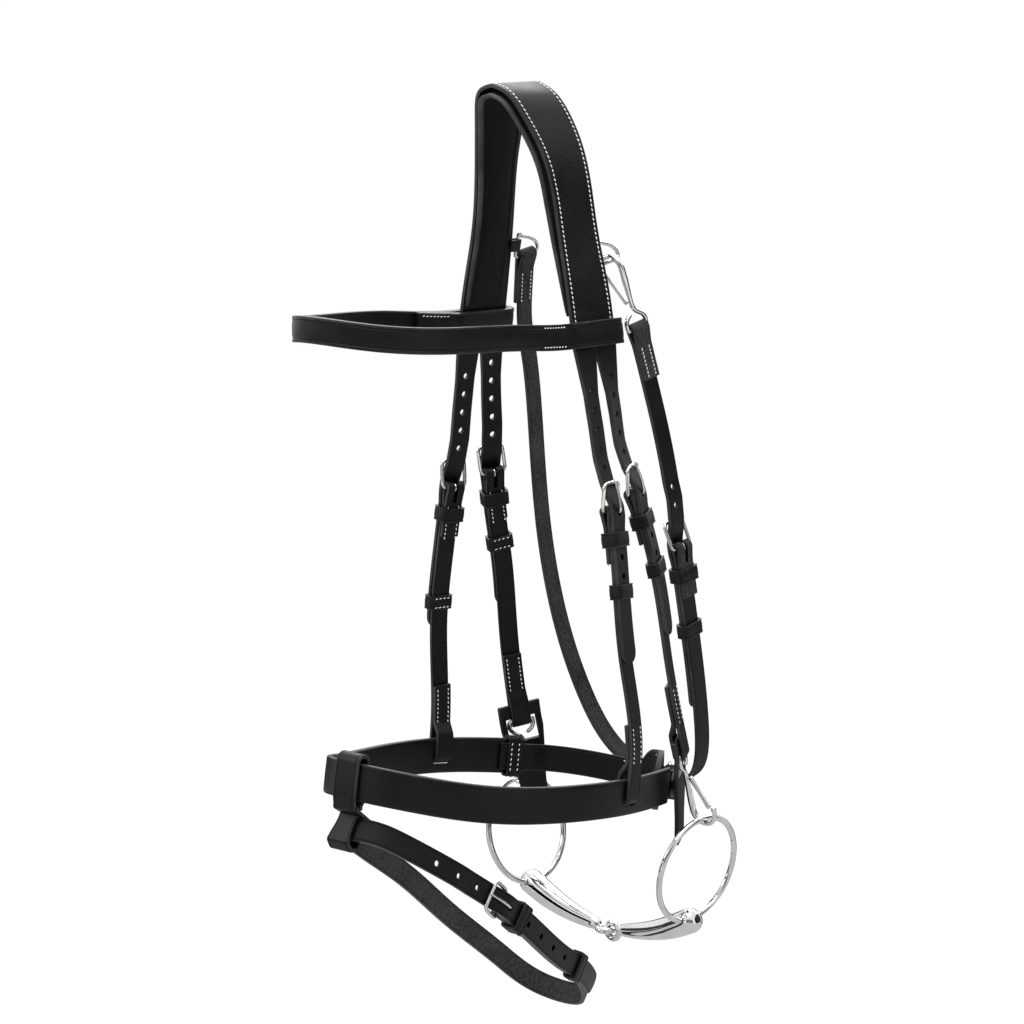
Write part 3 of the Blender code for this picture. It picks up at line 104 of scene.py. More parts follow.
class Wiring:
    """Adds and joins the nodes of one material or world, from nothing."""

    def __init__(self, material: bpy.types.ID) -> None:
        """Empties what it wires."""
        self.material = material
        material.use_nodes = True
        self.nodes = material.node_tree.nodes
        self.links = material.node_tree.links
        self.nodes.clear()

    def node(self, kind: str, inputs: dict[str | int, object] | None = None,
             **settings: object) -> bpy.types.Node:
        """Adds a node with its own settings, and a value or another socket for each input that is named."""
        made = self.nodes.new("ShaderNode" + kind)
        for key, value in settings.items():
            setattr(made, key, value)
        for key, value in (inputs or {}).items():
            if isinstance(value, Socket):
                self.links.new(value, made.inputs[key])
            else:
                made.inputs[key].default_value = value
        return made

    def show(self, shader: bpy.types.Node, kind: str) -> None:
        """Joins a shader to the output of a Material or a World."""
        self.links.new(shader.outputs[0], self.node("Output" + kind).inputs["Surface"])


class Finish(Wiring):
    """The nodes of a finish, on the piece's own coordinates."""

    def __init__(self, name: str) -> None:
        """Starts a material of that name."""
        super().__init__(bpy.data.materials.new(name))
        self.shader = self.node("BsdfPrincipled")
        self.show(self.shader, "Material")
        self.place = self.node("TexCoord").outputs["Object"]

    def noise(self, scale: float, detail: float = 3.0, rough: float = 0.5) -> Socket:
        """A noise on the piece's own coordinates: grains to the metre, finer layers and their strength."""
        inputs = {"Scale": scale, "Detail": detail, "Roughness": rough, "Vector": self.place}
        return self.node("TexNoise", inputs).outputs["Fac"]

    def cells(self, scale: float) -> Socket:
        """The pebbles of a leather's grain, by their distance from each pebble's middle."""
        return self.node("TexVoronoi", {"Scale": scale, "Vector": self.place}).outputs["Distance"]

    def span(self, source: Socket, low: float, high: float, to_low: float, to_high: float) -> Socket:
        """Maps one range of values to another."""
        inputs = {"Value": source, "From Min": low, "From Max": high, "To Min": to_low, "To Max": to_high}
        return self.node("MapRange", inputs).outputs["Result"]

    def sum(self, first: Socket, second: Socket, share: float) -> Socket:
        """The first value plus a share of the second."""
        return self.node("Math", {0: second, 1: share, 2: first}, operation="MULTIPLY_ADD").outputs[0]

    def ramp(self, source: Socket, *stops: tuple[float, Colour]) -> Socket:
        """Colours by value, from places between 0 and 1 and the colour at each."""
        made = self.node("ValToRGB", {"Fac": source})
        line = made.color_ramp.elements
        while len(line) < len(stops):
            line.new(0.5)
        for element, (place, colour) in zip(line, stops):
            element.position = place
            element.color = (*colour, 1.0)
        return made.outputs["Color"]

    def blend(self, amount: Socket, first: Socket, second: Colour) -> Socket:
        """The first colour, passing into the second by an amount."""
        return self.node("Mix", {0: amount, 6: first, 7: (*second, 1.0)}, data_type="RGBA").outputs[2]

    def attribute(self, name: str) -> Socket:
        """A value kept in the mesh."""
        return self.node("Attribute", attribute_name=name).outputs["Fac"]

    def bump(self, height: Socket, deep: float, strength: float) -> None:
        """Raises the surface by a height: metres from 0 to 1, and how strongly it shades."""
        made = self.node("Bump", {"Distance": deep, "Strength": strength, "Height": height})
        self.links.new(made.outputs["Normal"], self.shader.inputs["Normal"])

    def surface(self, colour: Socket, roughness: Socket) -> None:
        """Sets the colour and the roughness."""
        self.links.new(colour, self.shader.inputs["Base Color"])
        self.links.new(roughness, self.shader.inputs["Roughness"])


@dataclass(frozen=True)
class GrainLeather:
    """Black bridle leather, fine pebbled and waxed, lighter and glossier along its rims: partly edge wear,
    partly a painted highlight where the rims catch the light.
    """

    name: str = "bridle_leather"
    dark: Colour = (0.0012, 0.0012, 0.0013)
    light: Colour = (0.0032, 0.0031, 0.0031)
    # The rims' lighter colour: partly wear, partly a painted highlight.
    wear_and_highlight: Colour = (0.050, 0.049, 0.048)
    pebble: float = 1150.0
    deep: float = 0.00014
    strength: float = 0.45
    smooth: float = 0.33
    dull: float = 0.47
    gloss: float = 0.26

    def material(self) -> bpy.types.Material:
        """The finish as a material."""
        wiring = Finish(self.name)
        broad = wiring.noise(26.0, 4.0, 0.6)
        fine = wiring.noise(5200.0, 2.0)
        pebbles = wiring.cells(self.pebble)
        edge = wiring.attribute("worn_edge")
        colour = wiring.ramp(broad, (0.30, self.dark), (0.75, self.light))
        # The edge mark, with some random tone from the broad noise, blends the rims towards the lighter rim
        # colour: partly wear, partly a painted highlight.
        rubbed = wiring.sum(edge, wiring.span(broad, 0.35, 0.65, -0.5, 0.5), 0.6)
        colour = wiring.blend(wiring.span(rubbed, 0.35, 1.3, 0.0, 0.75), colour, self.wear_and_highlight)
        rough = wiring.sum(wiring.span(broad, 0.3, 0.7, self.smooth, self.dull), edge, -0.06)
        wiring.surface(colour, wiring.sum(rough, fine, 0.06))
        wiring.bump(wiring.sum(pebbles, fine, 0.5), self.deep, self.strength)
        wiring.shader.inputs["Specular IOR Level"].default_value = self.gloss
        return wiring.material


@dataclass(frozen=True)
class FleshLeather:
    """The strap's flesh side: grey-black, matt and fibrous."""

    name: str = "flesh_side"
    dark: Colour = (0.004, 0.004, 0.004)
    light: Colour = (0.060, 0.059, 0.058)

    def material(self) -> bpy.types.Material:
        """The finish as a material."""
        wiring = Finish(self.name)
        fibres = wiring.noise(620.0, 5.0, 0.72)
        broad = wiring.noise(34.0, 3.0)
        mottle = wiring.sum(fibres, broad, 0.35)
        colour = wiring.ramp(mottle, (0.46, self.dark), (0.86, self.light))
        wiring.surface(colour, wiring.span(fibres, 0.3, 0.7, 0.62, 0.84))
        wiring.bump(fibres, 0.00035, 0.6)
        wiring.shader.inputs["Specular IOR Level"].default_value = 0.12
        return wiring.material


@dataclass(frozen=True)
class ThreadFinish:
    """Waxed off-white thread, laid in twisted strands."""

    name: str = "waxed_thread"
    pale: Colour = (0.90, 0.89, 0.87)
    shade: Colour = (0.70, 0.69, 0.66)

    def material(self) -> bpy.types.Material:
        """The finish as a material."""
        wiring = Finish(self.name)
        strands = wiring.noise(2600.0, 3.0)
        colour = wiring.ramp(strands, (0.25, self.shade), (0.60, self.pale))
        wiring.surface(colour, wiring.span(strands, 0.3, 0.7, 0.50, 0.70))
        wiring.bump(strands, 0.00010, 0.5)
        return wiring.material


@dataclass(frozen=True)
class MetalFinish:
    """Polished metal with a slight waviness and fine rubbing marks."""

    name: str
    colour: Colour
    shade: Colour
    polish: float
    rubbed: float
    wave: float = 0.00003

    def material(self) -> bpy.types.Material:
        """The finish as a material."""
        wiring = Finish(self.name)
        broad = wiring.noise(95.0, 3.0)
        marks = wiring.noise(3300.0, 4.0, 0.7)
        wiring.surface(wiring.ramp(broad, (0.30, self.shade), (0.62, self.colour)),
                       wiring.sum(wiring.span(marks, 0.45, 0.75, self.polish, self.rubbed), broad, 0.03))
        wiring.bump(broad, self.wave, 0.4)
        wiring.shader.inputs["Metallic"].default_value = 1.0
        return wiring.material


class Finishes:
    """The finishes that the bridle is dressed in, each made once."""

    def __init__(self) -> None:
        """Makes the materials."""
        self.strap = GrainLeather().material()
        self.band = GrainLeather("band_leather", pebble=1500.0, strength=0.2, smooth=0.30,
                                 dull=0.44).material()
        # The pad's light rim colour is a painted highlight on the headpiece pad's front roll, and lightens
        # the chin pad's rims partly as wear, partly as a painted highlight.
        self.pad = GrainLeather("pad_leather_soft", (0.003, 0.003, 0.003), (0.007, 0.007, 0.007),
                                (0.085, 0.084, 0.082), pebble=1700.0, smooth=0.46, dull=0.62,
                                gloss=0.14).material()
        self.flesh = FleshLeather().material()
        self.thread = ThreadFinish().material()
        self.nickel = MetalFinish("bright_nickel", (0.77, 0.76, 0.74), (0.66, 0.65, 0.63), 0.10,
                                  0.20).material()
        self.steel = MetalFinish("polished_steel", (0.80, 0.80, 0.80), (0.70, 0.70, 0.71), 0.035,
                                 0.09).material()


@dataclass(frozen=True)
class Stock:
    """The leather and wire that the bridle is cut from, and how closely it is fitted."""

    leather: float = 0.0026
    gap: float = 0.0003
    step: float = 0.016
    strap: float = 0.013
    billet: float = 0.014
    spare: float = 0.001
    hole: float = 0.0020
    pitch: float = 0.0125
    fold_return: float = 0.034
    fold_flare: float = 0.010

    @property
    def lie(self) -> float:
        """How far one strap lies above the next."""
        return self.leather + self.gap


STOCK = Stock()


@dataclass(frozen=True)
class HeadForm:
    """The head that the straps follow."""

    half: float = 0.080
    reach: float = 0.150
    drop: float = 0.460
    pad: float = 0.007

    @property
    def lift(self) -> float:
        """The crown strap's height above what the pad rests on."""
        return self.pad + STOCK.gap * 2 + STOCK.leather / 2

    def points(self, shares: Sequence[Share]) -> list[Vector]:
        """Places from shares of the head's half width (across), reach (back) and drop (down)."""
        return [Vector((x * self.half, y * self.reach, self.lift - z * self.drop)) for x, y, z in shares]


HEAD = HeadForm()


def rows_of(points: Sequence[Vector]) -> np.ndarray:
    """Places as one row each."""
    return np.array([tuple(p) for p in points])


def lengths_to(rows: np.ndarray) -> np.ndarray:
    """The distance from the first row to each, along all of them."""
    return np.concatenate([[0.0], np.cumsum(np.linalg.norm(np.diff(rows, axis=0), axis=1))])


def mirrored(points: Sequence[Vector]) -> list[Vector]:
    """The same points on the other side of the head."""
    return [Vector((-p.x, p.y, p.z)) for p in points]


def unit(ways: np.ndarray) -> np.ndarray:
    """Directions of length one."""
    return ways / np.maximum(np.linalg.norm(ways, axis=-1, keepdims=True), 1e-12)


def spline(points: Sequence[Vector], count: int) -> np.ndarray:
    """Points along a natural cubic spline.

    Args:
        points: the places it goes through.
        count: how many points.

    Returns:
        One row for each point.
    """
    knots = rows_of(points)
    chord = np.linalg.norm(np.diff(knots, axis=0), axis=1)
    places = lengths_to(knots)
    last = len(knots) - 1
    system = np.eye(last + 1)
    target = np.zeros((last + 1, 3))
    for i in range(1, last):
        system[i, i - 1:i + 2] = chord[i - 1], 2 * (chord[i - 1] + chord[i]), chord[i]
        target[i] = 6 * ((knots[i + 1] - knots[i]) / chord[i] - (knots[i] - knots[i - 1]) / chord[i - 1])
    bend = np.linalg.solve(system, target)
    along = np.linspace(0.0, places[-1], count)
    i = np.clip(np.searchsorted(places, along, side="right") - 1, 0, last - 1)
    h = chord[i][:, None]
    a = places[i + 1][:, None] - along[:, None]
    b = along[:, None] - places[i][:, None]
    return (bend[i] * a ** 3 / (6 * h) + bend[i + 1] * b ** 3 / (6 * h)
            + (knots[i] / h - bend[i] * h / 6) * a + (knots[i + 1] / h - bend[i + 1] * h / 6) * b)


class Line:
    """A strap's smooth middle line: along it s, out from the head n, across the strap b."""

    SAMPLES = 360
    WRAP = 3

    def __init__(self, points: list[Vector], across: Vector | list[Vector], side: float = 1.0,
                 closed: bool = False) -> None:
        """Fits the line.

        Args:
            points: the places it goes through.
            across: the way the strap's width lies, one or one for each point.
            side: -1 where out is on the other side.
            closed: whether it comes back to its start.
        """
        self.side = side
        self.closed = closed
        if closed:
            wrap = self.WRAP
            points = points[-wrap:] + points + points[:wrap + 1]
            self.places = spline(points, self.SAMPLES)
            stops = lengths_to(rows_of(points))
            first = int(round(stops[wrap] / stops[-1] * (self.SAMPLES - 1)))
            last = int(round(stops[-wrap - 1] / stops[-1] * (self.SAMPLES - 1)))
            self.places = self.places[first:last + 1]
            self.places[-1] = self.places[0]
            points = [Vector(p) for p in self.places[::self.SAMPLES // 20]]
        else:
            self.places = spline(points, self.SAMPLES)
        self.s = lengths_to(self.places)
        self.length = float(self.s[-1])
        self.along = np.gradient(self.places, self.s, axis=0)
        if closed:
            self.along[0] = self.along[-1] = self.places[1] - self.places[-2]
        self.along = unit(self.along)
        if isinstance(across, Vector):
            across = [across] * len(points)
        chord = np.linalg.norm(np.diff(rows_of(points), axis=0), axis=1)
        knots = np.concatenate([[0.0], np.cumsum(chord)]) / chord.sum() * self.length
        table = rows_of(across)
        lie = np.stack([np.interp(self.s, knots, table[:, k]) for k in range(3)], axis=1)
        self.across = unit(lie - (lie * self.along).sum(1)[:, None] * self.along)

    def frames(self, s: np.ndarray) -> tuple[np.ndarray, np.ndarray, np.ndarray, np.ndarray]:
        """Places and ways along, out and across at many distances; past an end the line runs straight on."""
        s = np.asarray(s, float)
        if self.closed:
            s = s % self.length
        held = np.clip(s, 0.0, self.length)
        place, along, across = (
            np.stack([np.interp(held, self.s, table[:, k]) for k in range(3)], axis=1)
            for table in (self.places, self.along, self.across))
        along = unit(along)
        across = unit(across - (across * along).sum(1)[:, None] * along)
        return place + along * (s - held)[:, None], along, np.cross(along, across) * self.side, across

    def frame(self, s: float) -> tuple[Vector, Vector, Vector, Vector]:
        """The same at one distance."""
        place, along, out, across = (Vector(rows[0]) for rows in self.frames(np.array([s])))
        return place, along, out, across

    def at(self, s: float, n: float = 0.0, b: float = 0.0) -> Vector:
        """A point in the line's own coordinates."""
        place, _, out, across = self.frame(s)
        return place + out * n + across * b

    def nearest(self, target: Vector, lowest: float = 0.0, highest: float = 1.0) -> float:
        """The distance along the line of its point nearest to a place in plan, between two shares of it."""
        keep = (self.s >= lowest * self.length) & (self.s <= highest * self.length)
        away = np.linalg.norm(self.places[:, :2] - np.array(tuple(target))[:2], axis=1)
        return float(self.s[int(np.where(keep, away, np.inf).argmin())])


def arc(s: float, n: float, radius: float, start: float, end: float, steps: int = 16) -> list[Stop]:
    """Stops on an arc round (s, n), with its first and last angle in degrees, from along towards out."""
    angles = np.radians(np.linspace(start, end, steps + 1))
    return [(s + radius * math.cos(a), n + radius * math.sin(a)) for a in angles]


def filled(stops: np.ndarray, step: float) -> np.ndarray:
    """Adds stops so that none is further than step from the next."""
    found = [stops[:1]]
    for a, b in zip(stops, stops[1:]):
        count = max(1, math.ceil(float(np.linalg.norm(b - a)) / step))
        found.append(a + (b - a) * (np.arange(1, count + 1) / count)[:, None])
    return np.concatenate(found)


def rounded(stops: np.ndarray, rounds: int, closed: bool = False) -> np.ndarray:
    """Cuts the corners of a row of stops, ends kept."""
    for _ in range(rounds):
        here = stops
        after = np.roll(stops, -1, axis=0)
        pairs = np.stack([here * 0.75 + after * 0.25, here * 0.25 + after * 0.75],
                         axis=1).reshape(-1, stops.shape[1])
        stops = pairs if closed else np.concatenate([stops[:1], pairs[1:-3], stops[-1:]])
    return stops


def thinned(stops: np.ndarray, turn: float, longest: float) -> np.ndarray:
    """Leaves out stops where the way turns by fewer degrees than turn, but no step longer than longest."""
    kept = [stops[0]]
    limit = math.cos(math.radians(turn))
    heading = unit(stops[1] - stops[0])
    for here, after in zip(stops[1:], stops[2:]):
        way = unit(after - here)
        if float(way @ heading) < limit or np.linalg.norm(after - kept[-1]) > longest:
            kept.append(here)
            heading = way
    return np.array(kept + [stops[-1]])


class Route:
    """The way that a piece made flat and straight is laid on: its places, and which way is out and across."""

    def __init__(self, places: np.ndarray, outs: np.ndarray, acrosses: np.ndarray) -> None:
        """Keeps the rows.

        Args:
            places: points along the way.
            outs: the way up from the flat piece at each.
            acrosses: the way across it at each.
        """
        self.places = places
        self.outs = outs
        self.acrosses = acrosses
        self.x = lengths_to(places)
        self.length = float(self.x[-1])

    @classmethod
    def strap(cls, line: Line, path: list[Stop], rounds: int = 2, spacing: float = 0.004) -> "Route":
        """A strap's way over its line, through stops whose corners are cut a few rounds."""
        stops = thinned(rounded(filled(np.array(path), spacing), rounds), 5.0, 0.0035)
        step = np.gradient(stops, axis=0)
        place, along, out, across = line.frames(stops[:, 0])
        outs = unit(out * step[:, :1] - along * step[:, 1:])
        return cls(place + out * stops[:, 1:], outs, across)

    @classmethod
    def wire(cls, points: Sequence[Vector], closed: bool = False, rounds: int = 3) -> "Route":
        """A wire's way through its bends, carried without twist.

        Args:
            points: the places of its bends.
            closed: whether its ends meet.
            rounds: how often corners are cut.

        Returns:
            The route.
        """
        stops = thinned(rounded(rows_of(points), rounds, closed), 5.0, 0.004)
        if closed:
            stops = np.concatenate([stops, stops[:1]])
        ways = unit(np.gradient(stops, axis=0))
        if closed:
            ways[0] = ways[-1] = unit(stops[1] - stops[-2])
            normal = unit(np.cross(stops[len(stops) // 3] - stops[0], stops[2 * len(stops) // 3] - stops[0]))
        else:
            normal = np.array(tuple(Vector(ways[0]).orthogonal().normalized()))
        outs = []
        for way in ways:
            normal = unit(normal - way * (normal @ way))
            outs.append(normal)
        outs = np.array(outs)
        return cls(stops, outs, np.cross(outs, ways))

    @classmethod
    def loop(cls, line: Line, s: float, low: float, high: float, half: float, thick: float, corner: float
             ) -> "Route":
        """A keeper's way round the layers that it holds.

        Args:
            line: the line of those layers.
            s: where on it.
            low: the height of its lower inner face.
            high: the height of its upper inner face.
            half: half its inner width.
            thick: its leather's thickness.
            corner: the radius of its corners.

        Returns:
            The route, which starts and ends in the middle of the lower run.
        """
        place, along, out, across = line.frame(s)
        top, bottom, wide = high + thick / 2, low - thick / 2, half + thick / 2
        turns = [(bottom, -wide, 180, 270), (top, -wide, 270, 360), (top, wide, 0, 90),
                 (bottom, wide, 90, 180)]
        flat = [(bottom, 0.0, math.pi)]
        for n, b, start, end in turns:
            n_in = n - math.copysign(corner, n - (top + bottom) / 2)
            b_in = b - math.copysign(corner, b)
            for degrees in np.linspace(start, end, 7):
                angle = math.radians(degrees)
                flat.append((n_in + corner * math.cos(angle), b_in + corner * math.sin(angle), angle))
        flat.append((bottom, 0.0, math.pi))
        places = [place + out * n + across * b for n, b, _ in flat]
        outs = [out * math.cos(a) + across * math.sin(a) for _, _, a in flat]
        return cls(*(rows_of(part) for part in (places, outs, [along] * len(flat))))

    def near(self, place: Vector, low: float, high: float) -> float:
        """The distance along the route of its point nearest to a place, between two distances."""
        away = np.linalg.norm(self.places - np.array(tuple(place)), axis=1)
        keep = (self.x >= low) & (self.x <= high)
        return float(self.x[int(np.where(keep, away, np.inf).argmin())])

    def carry(self, flat: np.ndarray) -> np.ndarray:
        """Lays points made flat (along, across, up) on the route, one row each."""
        held = np.clip(flat[:, 0], 0.0, self.length)
        place, out, across = (
            np.stack([np.interp(held, self.x, table[:, k]) for k in range(3)], axis=1)
            for table in (self.places, self.outs, self.acrosses))
        out = unit(out)
        across = unit(across - (across * out).sum(1)[:, None] * out)
        past = (flat[:, 0] - held)[:, None] * np.cross(across, out)
        ends = np.where(flat[:, :1] > 0, self.places[-1] - self.places[-2], self.places[1] - self.places[0])
        past *= np.sign((past * ends).sum(1) * (flat[:, 0] - held) + 1e-30)[:, None]
        return place + past + across * flat[:, 1:2] + out * flat[:, 2:3]


def points_of(obj: Piece) -> np.ndarray:
    """A mesh's points, one row each."""
    found = np.empty(len(obj.data.vertices) * 3)
    obj.data.vertices.foreach_get("co", found)
    return found.reshape(-1, 3)


def move_points(obj: Piece, places: np.ndarray) -> None:
    """Puts a mesh's points in new places."""
    obj.data.vertices.foreach_set("co", np.ascontiguousarray(places, dtype=np.float32).ravel())
    obj.data.update()


def deselect() -> None:
    """Leaves nothing selected."""
    if bpy.context.mode != "OBJECT":
        bpy.ops.object.mode_set(mode="OBJECT")
    bpy.ops.object.select_all(action="DESELECT")


def take(obj: Piece) -> None:
    """Selects one object alone and makes it active."""
    deselect()
    obj.select_set(True)
    bpy.context.view_layer.objects.active = obj


def just_added(name: str) -> Piece:
    """The piece that Blender has just added, given its name."""
    obj = bpy.context.view_layer.objects.active
    obj.name = obj.data.name = name
    return obj


def apply(obj: Piece, kind: str, **settings: object) -> None:
    """Adds a modifier with its settings and applies it."""
    take(obj)
    modifier = obj.modifiers.new(kind.lower(), kind)
    for key, value in settings.items():
        setattr(modifier, key, value)
    bpy.ops.object.modifier_apply(modifier=modifier.name)


def edit(obj: Piece, mode: str, chosen: np.ndarray) -> None:
    """Goes into edit mode with some vertices (VERT), edges (EDGE) or faces (FACE) selected."""
    take(obj)
    bpy.ops.object.mode_set(mode="EDIT")
    bpy.ops.mesh.select_mode(type=mode)
    bpy.ops.mesh.select_all(action="DESELECT")
    bpy.ops.object.mode_set(mode="OBJECT")
    table = {"VERT": obj.data.vertices, "EDGE": obj.data.edges, "FACE": obj.data.polygons}[mode]
    table.foreach_set("select", chosen.astype(bool))
    bpy.ops.object.mode_set(mode="EDIT")


def done_editing() -> None:
    """Turns the normals outward and leaves edit mode."""
    bpy.ops.mesh.select_all(action="SELECT")
    bpy.ops.mesh.normals_make_consistent(inside=False)
    bpy.ops.object.mode_set(mode="OBJECT")


def smooth(obj: Piece, angle: float = 40.0) -> None:
    """Shades a piece smooth, with edges sharper than an angle kept crisp."""
    take(obj)
    bpy.ops.object.shade_smooth_by_angle(angle=math.radians(angle))


def keep_value(obj: Piece, name: str, values: np.ndarray) -> None:
    """Keeps a value at each point in the mesh, for the finish to read."""
    layer = obj.data.attributes.get(name) or obj.data.attributes.new(name, "FLOAT", "POINT")
    layer.data.foreach_set("value", values.astype(np.float32))


def sheet_of(name: str, rows: int, columns: int) -> tuple[Piece, np.ndarray, np.ndarray]:
    """A flat piece of leather, and the row and the column of each of its points."""
    deselect()
    bpy.ops.mesh.primitive_grid_add(x_subdivisions=rows - 1, y_subdivisions=columns - 1, size=1.0)
    obj = just_added(name)
    flat = points_of(obj)
    row = np.rint((flat[:, 0] + 0.5) * (rows - 1)).astype(int)
    column = np.rint((flat[:, 1] + 0.5) * (columns - 1)).astype(int)
    return obj, row, column


@dataclass
class Strip:
    """A strap cut flat, edged, creased and punched, then laid on its route."""

    name: str
    route: Route
    width: float
    thick: float = STOCK.leather
    tip: bool = False
    start_tip: bool = False
    crease: float = 0.0
    crown: float = 0.0
    ease: float = 0.0006
    widths: Callable[[np.ndarray], np.ndarray] | None = None
    # How strongly the rims are lightened: partly wear, partly a painted highlight.
    wear_and_highlight_amount: float = 1.0
    tip_reach: float = 0.55
    tip_round: float = 0.96
    flesh_way: float = -1.0

    def tips(self, x: np.ndarray) -> np.ndarray:
        """The share of its width that the strap has at each distance."""
        reach = self.width * self.tip_reach
        share = np.ones_like(x)
        if self.tip:
            back = np.clip((x - (self.route.length - reach)) / reach, 0.0, 1.0)
            share *= np.sqrt(1.0 - (self.tip_round * back) ** 2)
        if self.start_tip:
            back = np.clip((reach - x) / reach, 0.0, 1.0)
            share *= np.sqrt(1.0 - (self.tip_round * back) ** 2)
        return share

    def rows(self) -> np.ndarray:
        """Stops along the strap, closer together at a rounded tip."""
        x = self.route.x
        reach = self.width * self.tip_reach
        fine = reach * np.sin(np.linspace(0.0, math.pi / 2, 11))
        if self.tip:
            x = np.concatenate([x[x < self.route.length - reach * 1.05], self.route.length - reach + fine])
        if self.start_tip:
            x = np.concatenate([(reach - fine)[::-1], x[x > reach * 1.05]])
        return x

    def columns(self) -> np.ndarray:
        """Stops across the strap, with the crease lines among them."""
        half = self.width / 2
        places = [0.0, half * 0.35, half * 0.65, half]
        if self.crease:
            places = [0.0, half * 0.4, half * 0.7] + [half - self.crease + d
                                                      for d in (-0.0005, -0.0002, 0.0001, 0.0004)]
            places.append(half)
        return np.array([-p for p in places[:0:-1]] + places)

    def make(self) -> Piece:
        """Makes the strap.

        Returns:
            The strap, laid on its route.
        """
        rows = self.rows()
        columns = self.columns()
        obj, row, column = sheet_of(self.name, len(rows), len(columns))
        flat = points_of(obj)
        flat[:, 0] = rows[row]
        flat[:, 1] = columns[column]
        flat[:, 2] = -self.thick / 2
        move_points(obj, flat)
        edit(obj, "FACE", np.ones(len(obj.data.polygons), bool))
        bpy.ops.mesh.extrude_region_move(TRANSFORM_OT_translate={"value": (0.0, 0.0, self.thick)})
        done_editing()
        flat = points_of(obj)
        half = self.width / 2
        if self.crease:
            in_crease = np.abs(np.abs(flat[:, 1]) - (half - self.crease - 0.00005)) < 0.0002
            flat[:, 2] -= np.where(in_crease, np.sign(flat[:, 2]) * 0.00030, 0.0)
        flat[:, 2] += np.sign(flat[:, 2]) * self.crown * (1.0 - (flat[:, 1] / half) ** 2)
        if self.widths:
            flat[:, 1] *= self.widths(flat[:, 0] / self.route.length)
        flat[:, 1] *= self.tips(flat[:, 0])
        move_points(obj, flat)
        ease_edges(obj, self.ease)
        flat = points_of(obj)
        edge = np.abs(flat[:, 1]) / half / np.maximum(self.tips(flat[:, 0]), 0.2)
        # Marks the rims for the finish to lighten: partly wear, partly a painted highlight.
        keep_value(obj, "worn_edge", np.clip((edge - 0.88) / 0.10, 0.0, 1.0) * self.wear_and_highlight_amount)
        normals = np.empty(len(obj.data.polygons) * 3)
        obj.data.polygons.foreach_get("normal", normals)
        rough = normals.reshape(-1, 3)[:, 2] * self.flesh_way > 0.5
        kinds = np.where(rough, Face.FLESH.value, Face.GRAIN.value).astype(np.int32)
        obj.data.polygons.foreach_set("material_index", kinds)
        move_points(obj, self.route.carry(flat))
        smooth(obj)
        return obj


def ease_edges(obj: Piece, width: float, segments: int = 3) -> None:
    """Rounds off a piece's sharp edges."""
    apply(obj, "BEVEL", width=width, segments=segments, limit_method="ANGLE", angle_limit=math.radians(60))


def rod(name: str, sides: int, radius: float, length: float, start: float) -> Piece:
    """A straight round rod along X that begins at a start."""
    deselect()
    bpy.ops.mesh.primitive_cylinder_add(vertices=sides, radius=radius, depth=length,
                                        location=(start + length / 2, 0.0, 0.0),
                                        rotation=(0.0, math.pi / 2, 0.0))
    obj = just_added(name)
    bpy.ops.object.transform_apply(location=True, rotation=True, scale=True)
    return obj


def cut_along(obj: Piece, longest: float, cuts: int) -> None:
    """Cuts across a rod: every edge that runs further than a length along X gets more points."""
    flat = points_of(obj)
    ends = np.empty(len(obj.data.edges) * 2, dtype=np.int32)
    obj.data.edges.foreach_get("vertices", ends)
    pairs = ends.reshape(-1, 2)
    edit(obj, "EDGE", np.abs(flat[pairs[:, 0], 0] - flat[pairs[:, 1], 0]) > longest)
    bpy.ops.mesh.subdivide(number_cuts=cuts)


def bar_on(name: str, route: Route, radius: float, radii: Sequence[Stop] | None = None,
           sides: int = 14) -> Piece:
    """A bar with rounded ends, made straight and bent to its route.

    Args:
        name: its name.
        route: the way it is bent to.
        radius: its thickness from the middle.
        radii: shares of the length and of the radius there, where it tapers.
        sides: how many faces go round it.

    Returns:
        The bar.
    """
    length = route.length
    obj = rod(name, sides, radius, length, 0.0)
    ease_edges(obj, radius * 0.75, 4)
    cut_along(obj, length * 0.5, min(max(len(route.x), 24), 100))
    done_editing()
    flat = points_of(obj)
    inner = (flat[:, 0] > radius) & (flat[:, 0] < length - radius)
    if len(route.x) > 24:
        order = np.unique(np.round(flat[inner, 0], 7))
        evenly = np.interp(np.linspace(0.0, 1.0, len(order)), np.linspace(0.0, 1.0, len(route.x)), route.x)
        flat[inner, 0] = np.clip(np.interp(flat[inner, 0], order, evenly), radius, length - radius)
    if radii:
        table = np.array(radii)
        flat[:, 1:] *= np.interp(flat[:, 0] / length, table[:, 0], table[:, 1])[:, None]
    move_points(obj, route.carry(flat))
    smooth(obj, 60.0)
    return obj


def ring_on(name: str, route: Route, radius: float, count: int = 72, sides: int = 12) -> Piece:
    """A closed ring of wire, made as a round ring and bent to its route.

    Args:
        name: its name.
        route: the closed way it is bent to.
        radius: the wire's thickness from its middle.
        count: how many pieces go along it.
        sides: how many faces go round the wire.

    Returns:
        The ring.
    """
    deselect()
    bpy.ops.mesh.primitive_torus_add(major_segments=count, minor_segments=sides, major_radius=1.0,
                                     minor_radius=0.25)
    obj = just_added(name)
    flat = points_of(obj)
    turn = np.round((np.arctan2(flat[:, 1], flat[:, 0]) % math.tau) / math.tau * count) % count
    steps = np.interp(turn / count, np.linspace(0.0, 1.0, len(route.x)), route.x)
    u = (np.hypot(flat[:, 0], flat[:, 1]) - 1.0) * 4 * radius
    move_points(obj, route.carry(np.stack([steps, u, flat[:, 2] * 4 * radius], axis=1)))
    edit(obj, "FACE", np.ones(len(obj.data.polygons), bool))
    done_editing()
    smooth(obj, 60.0)
    return obj


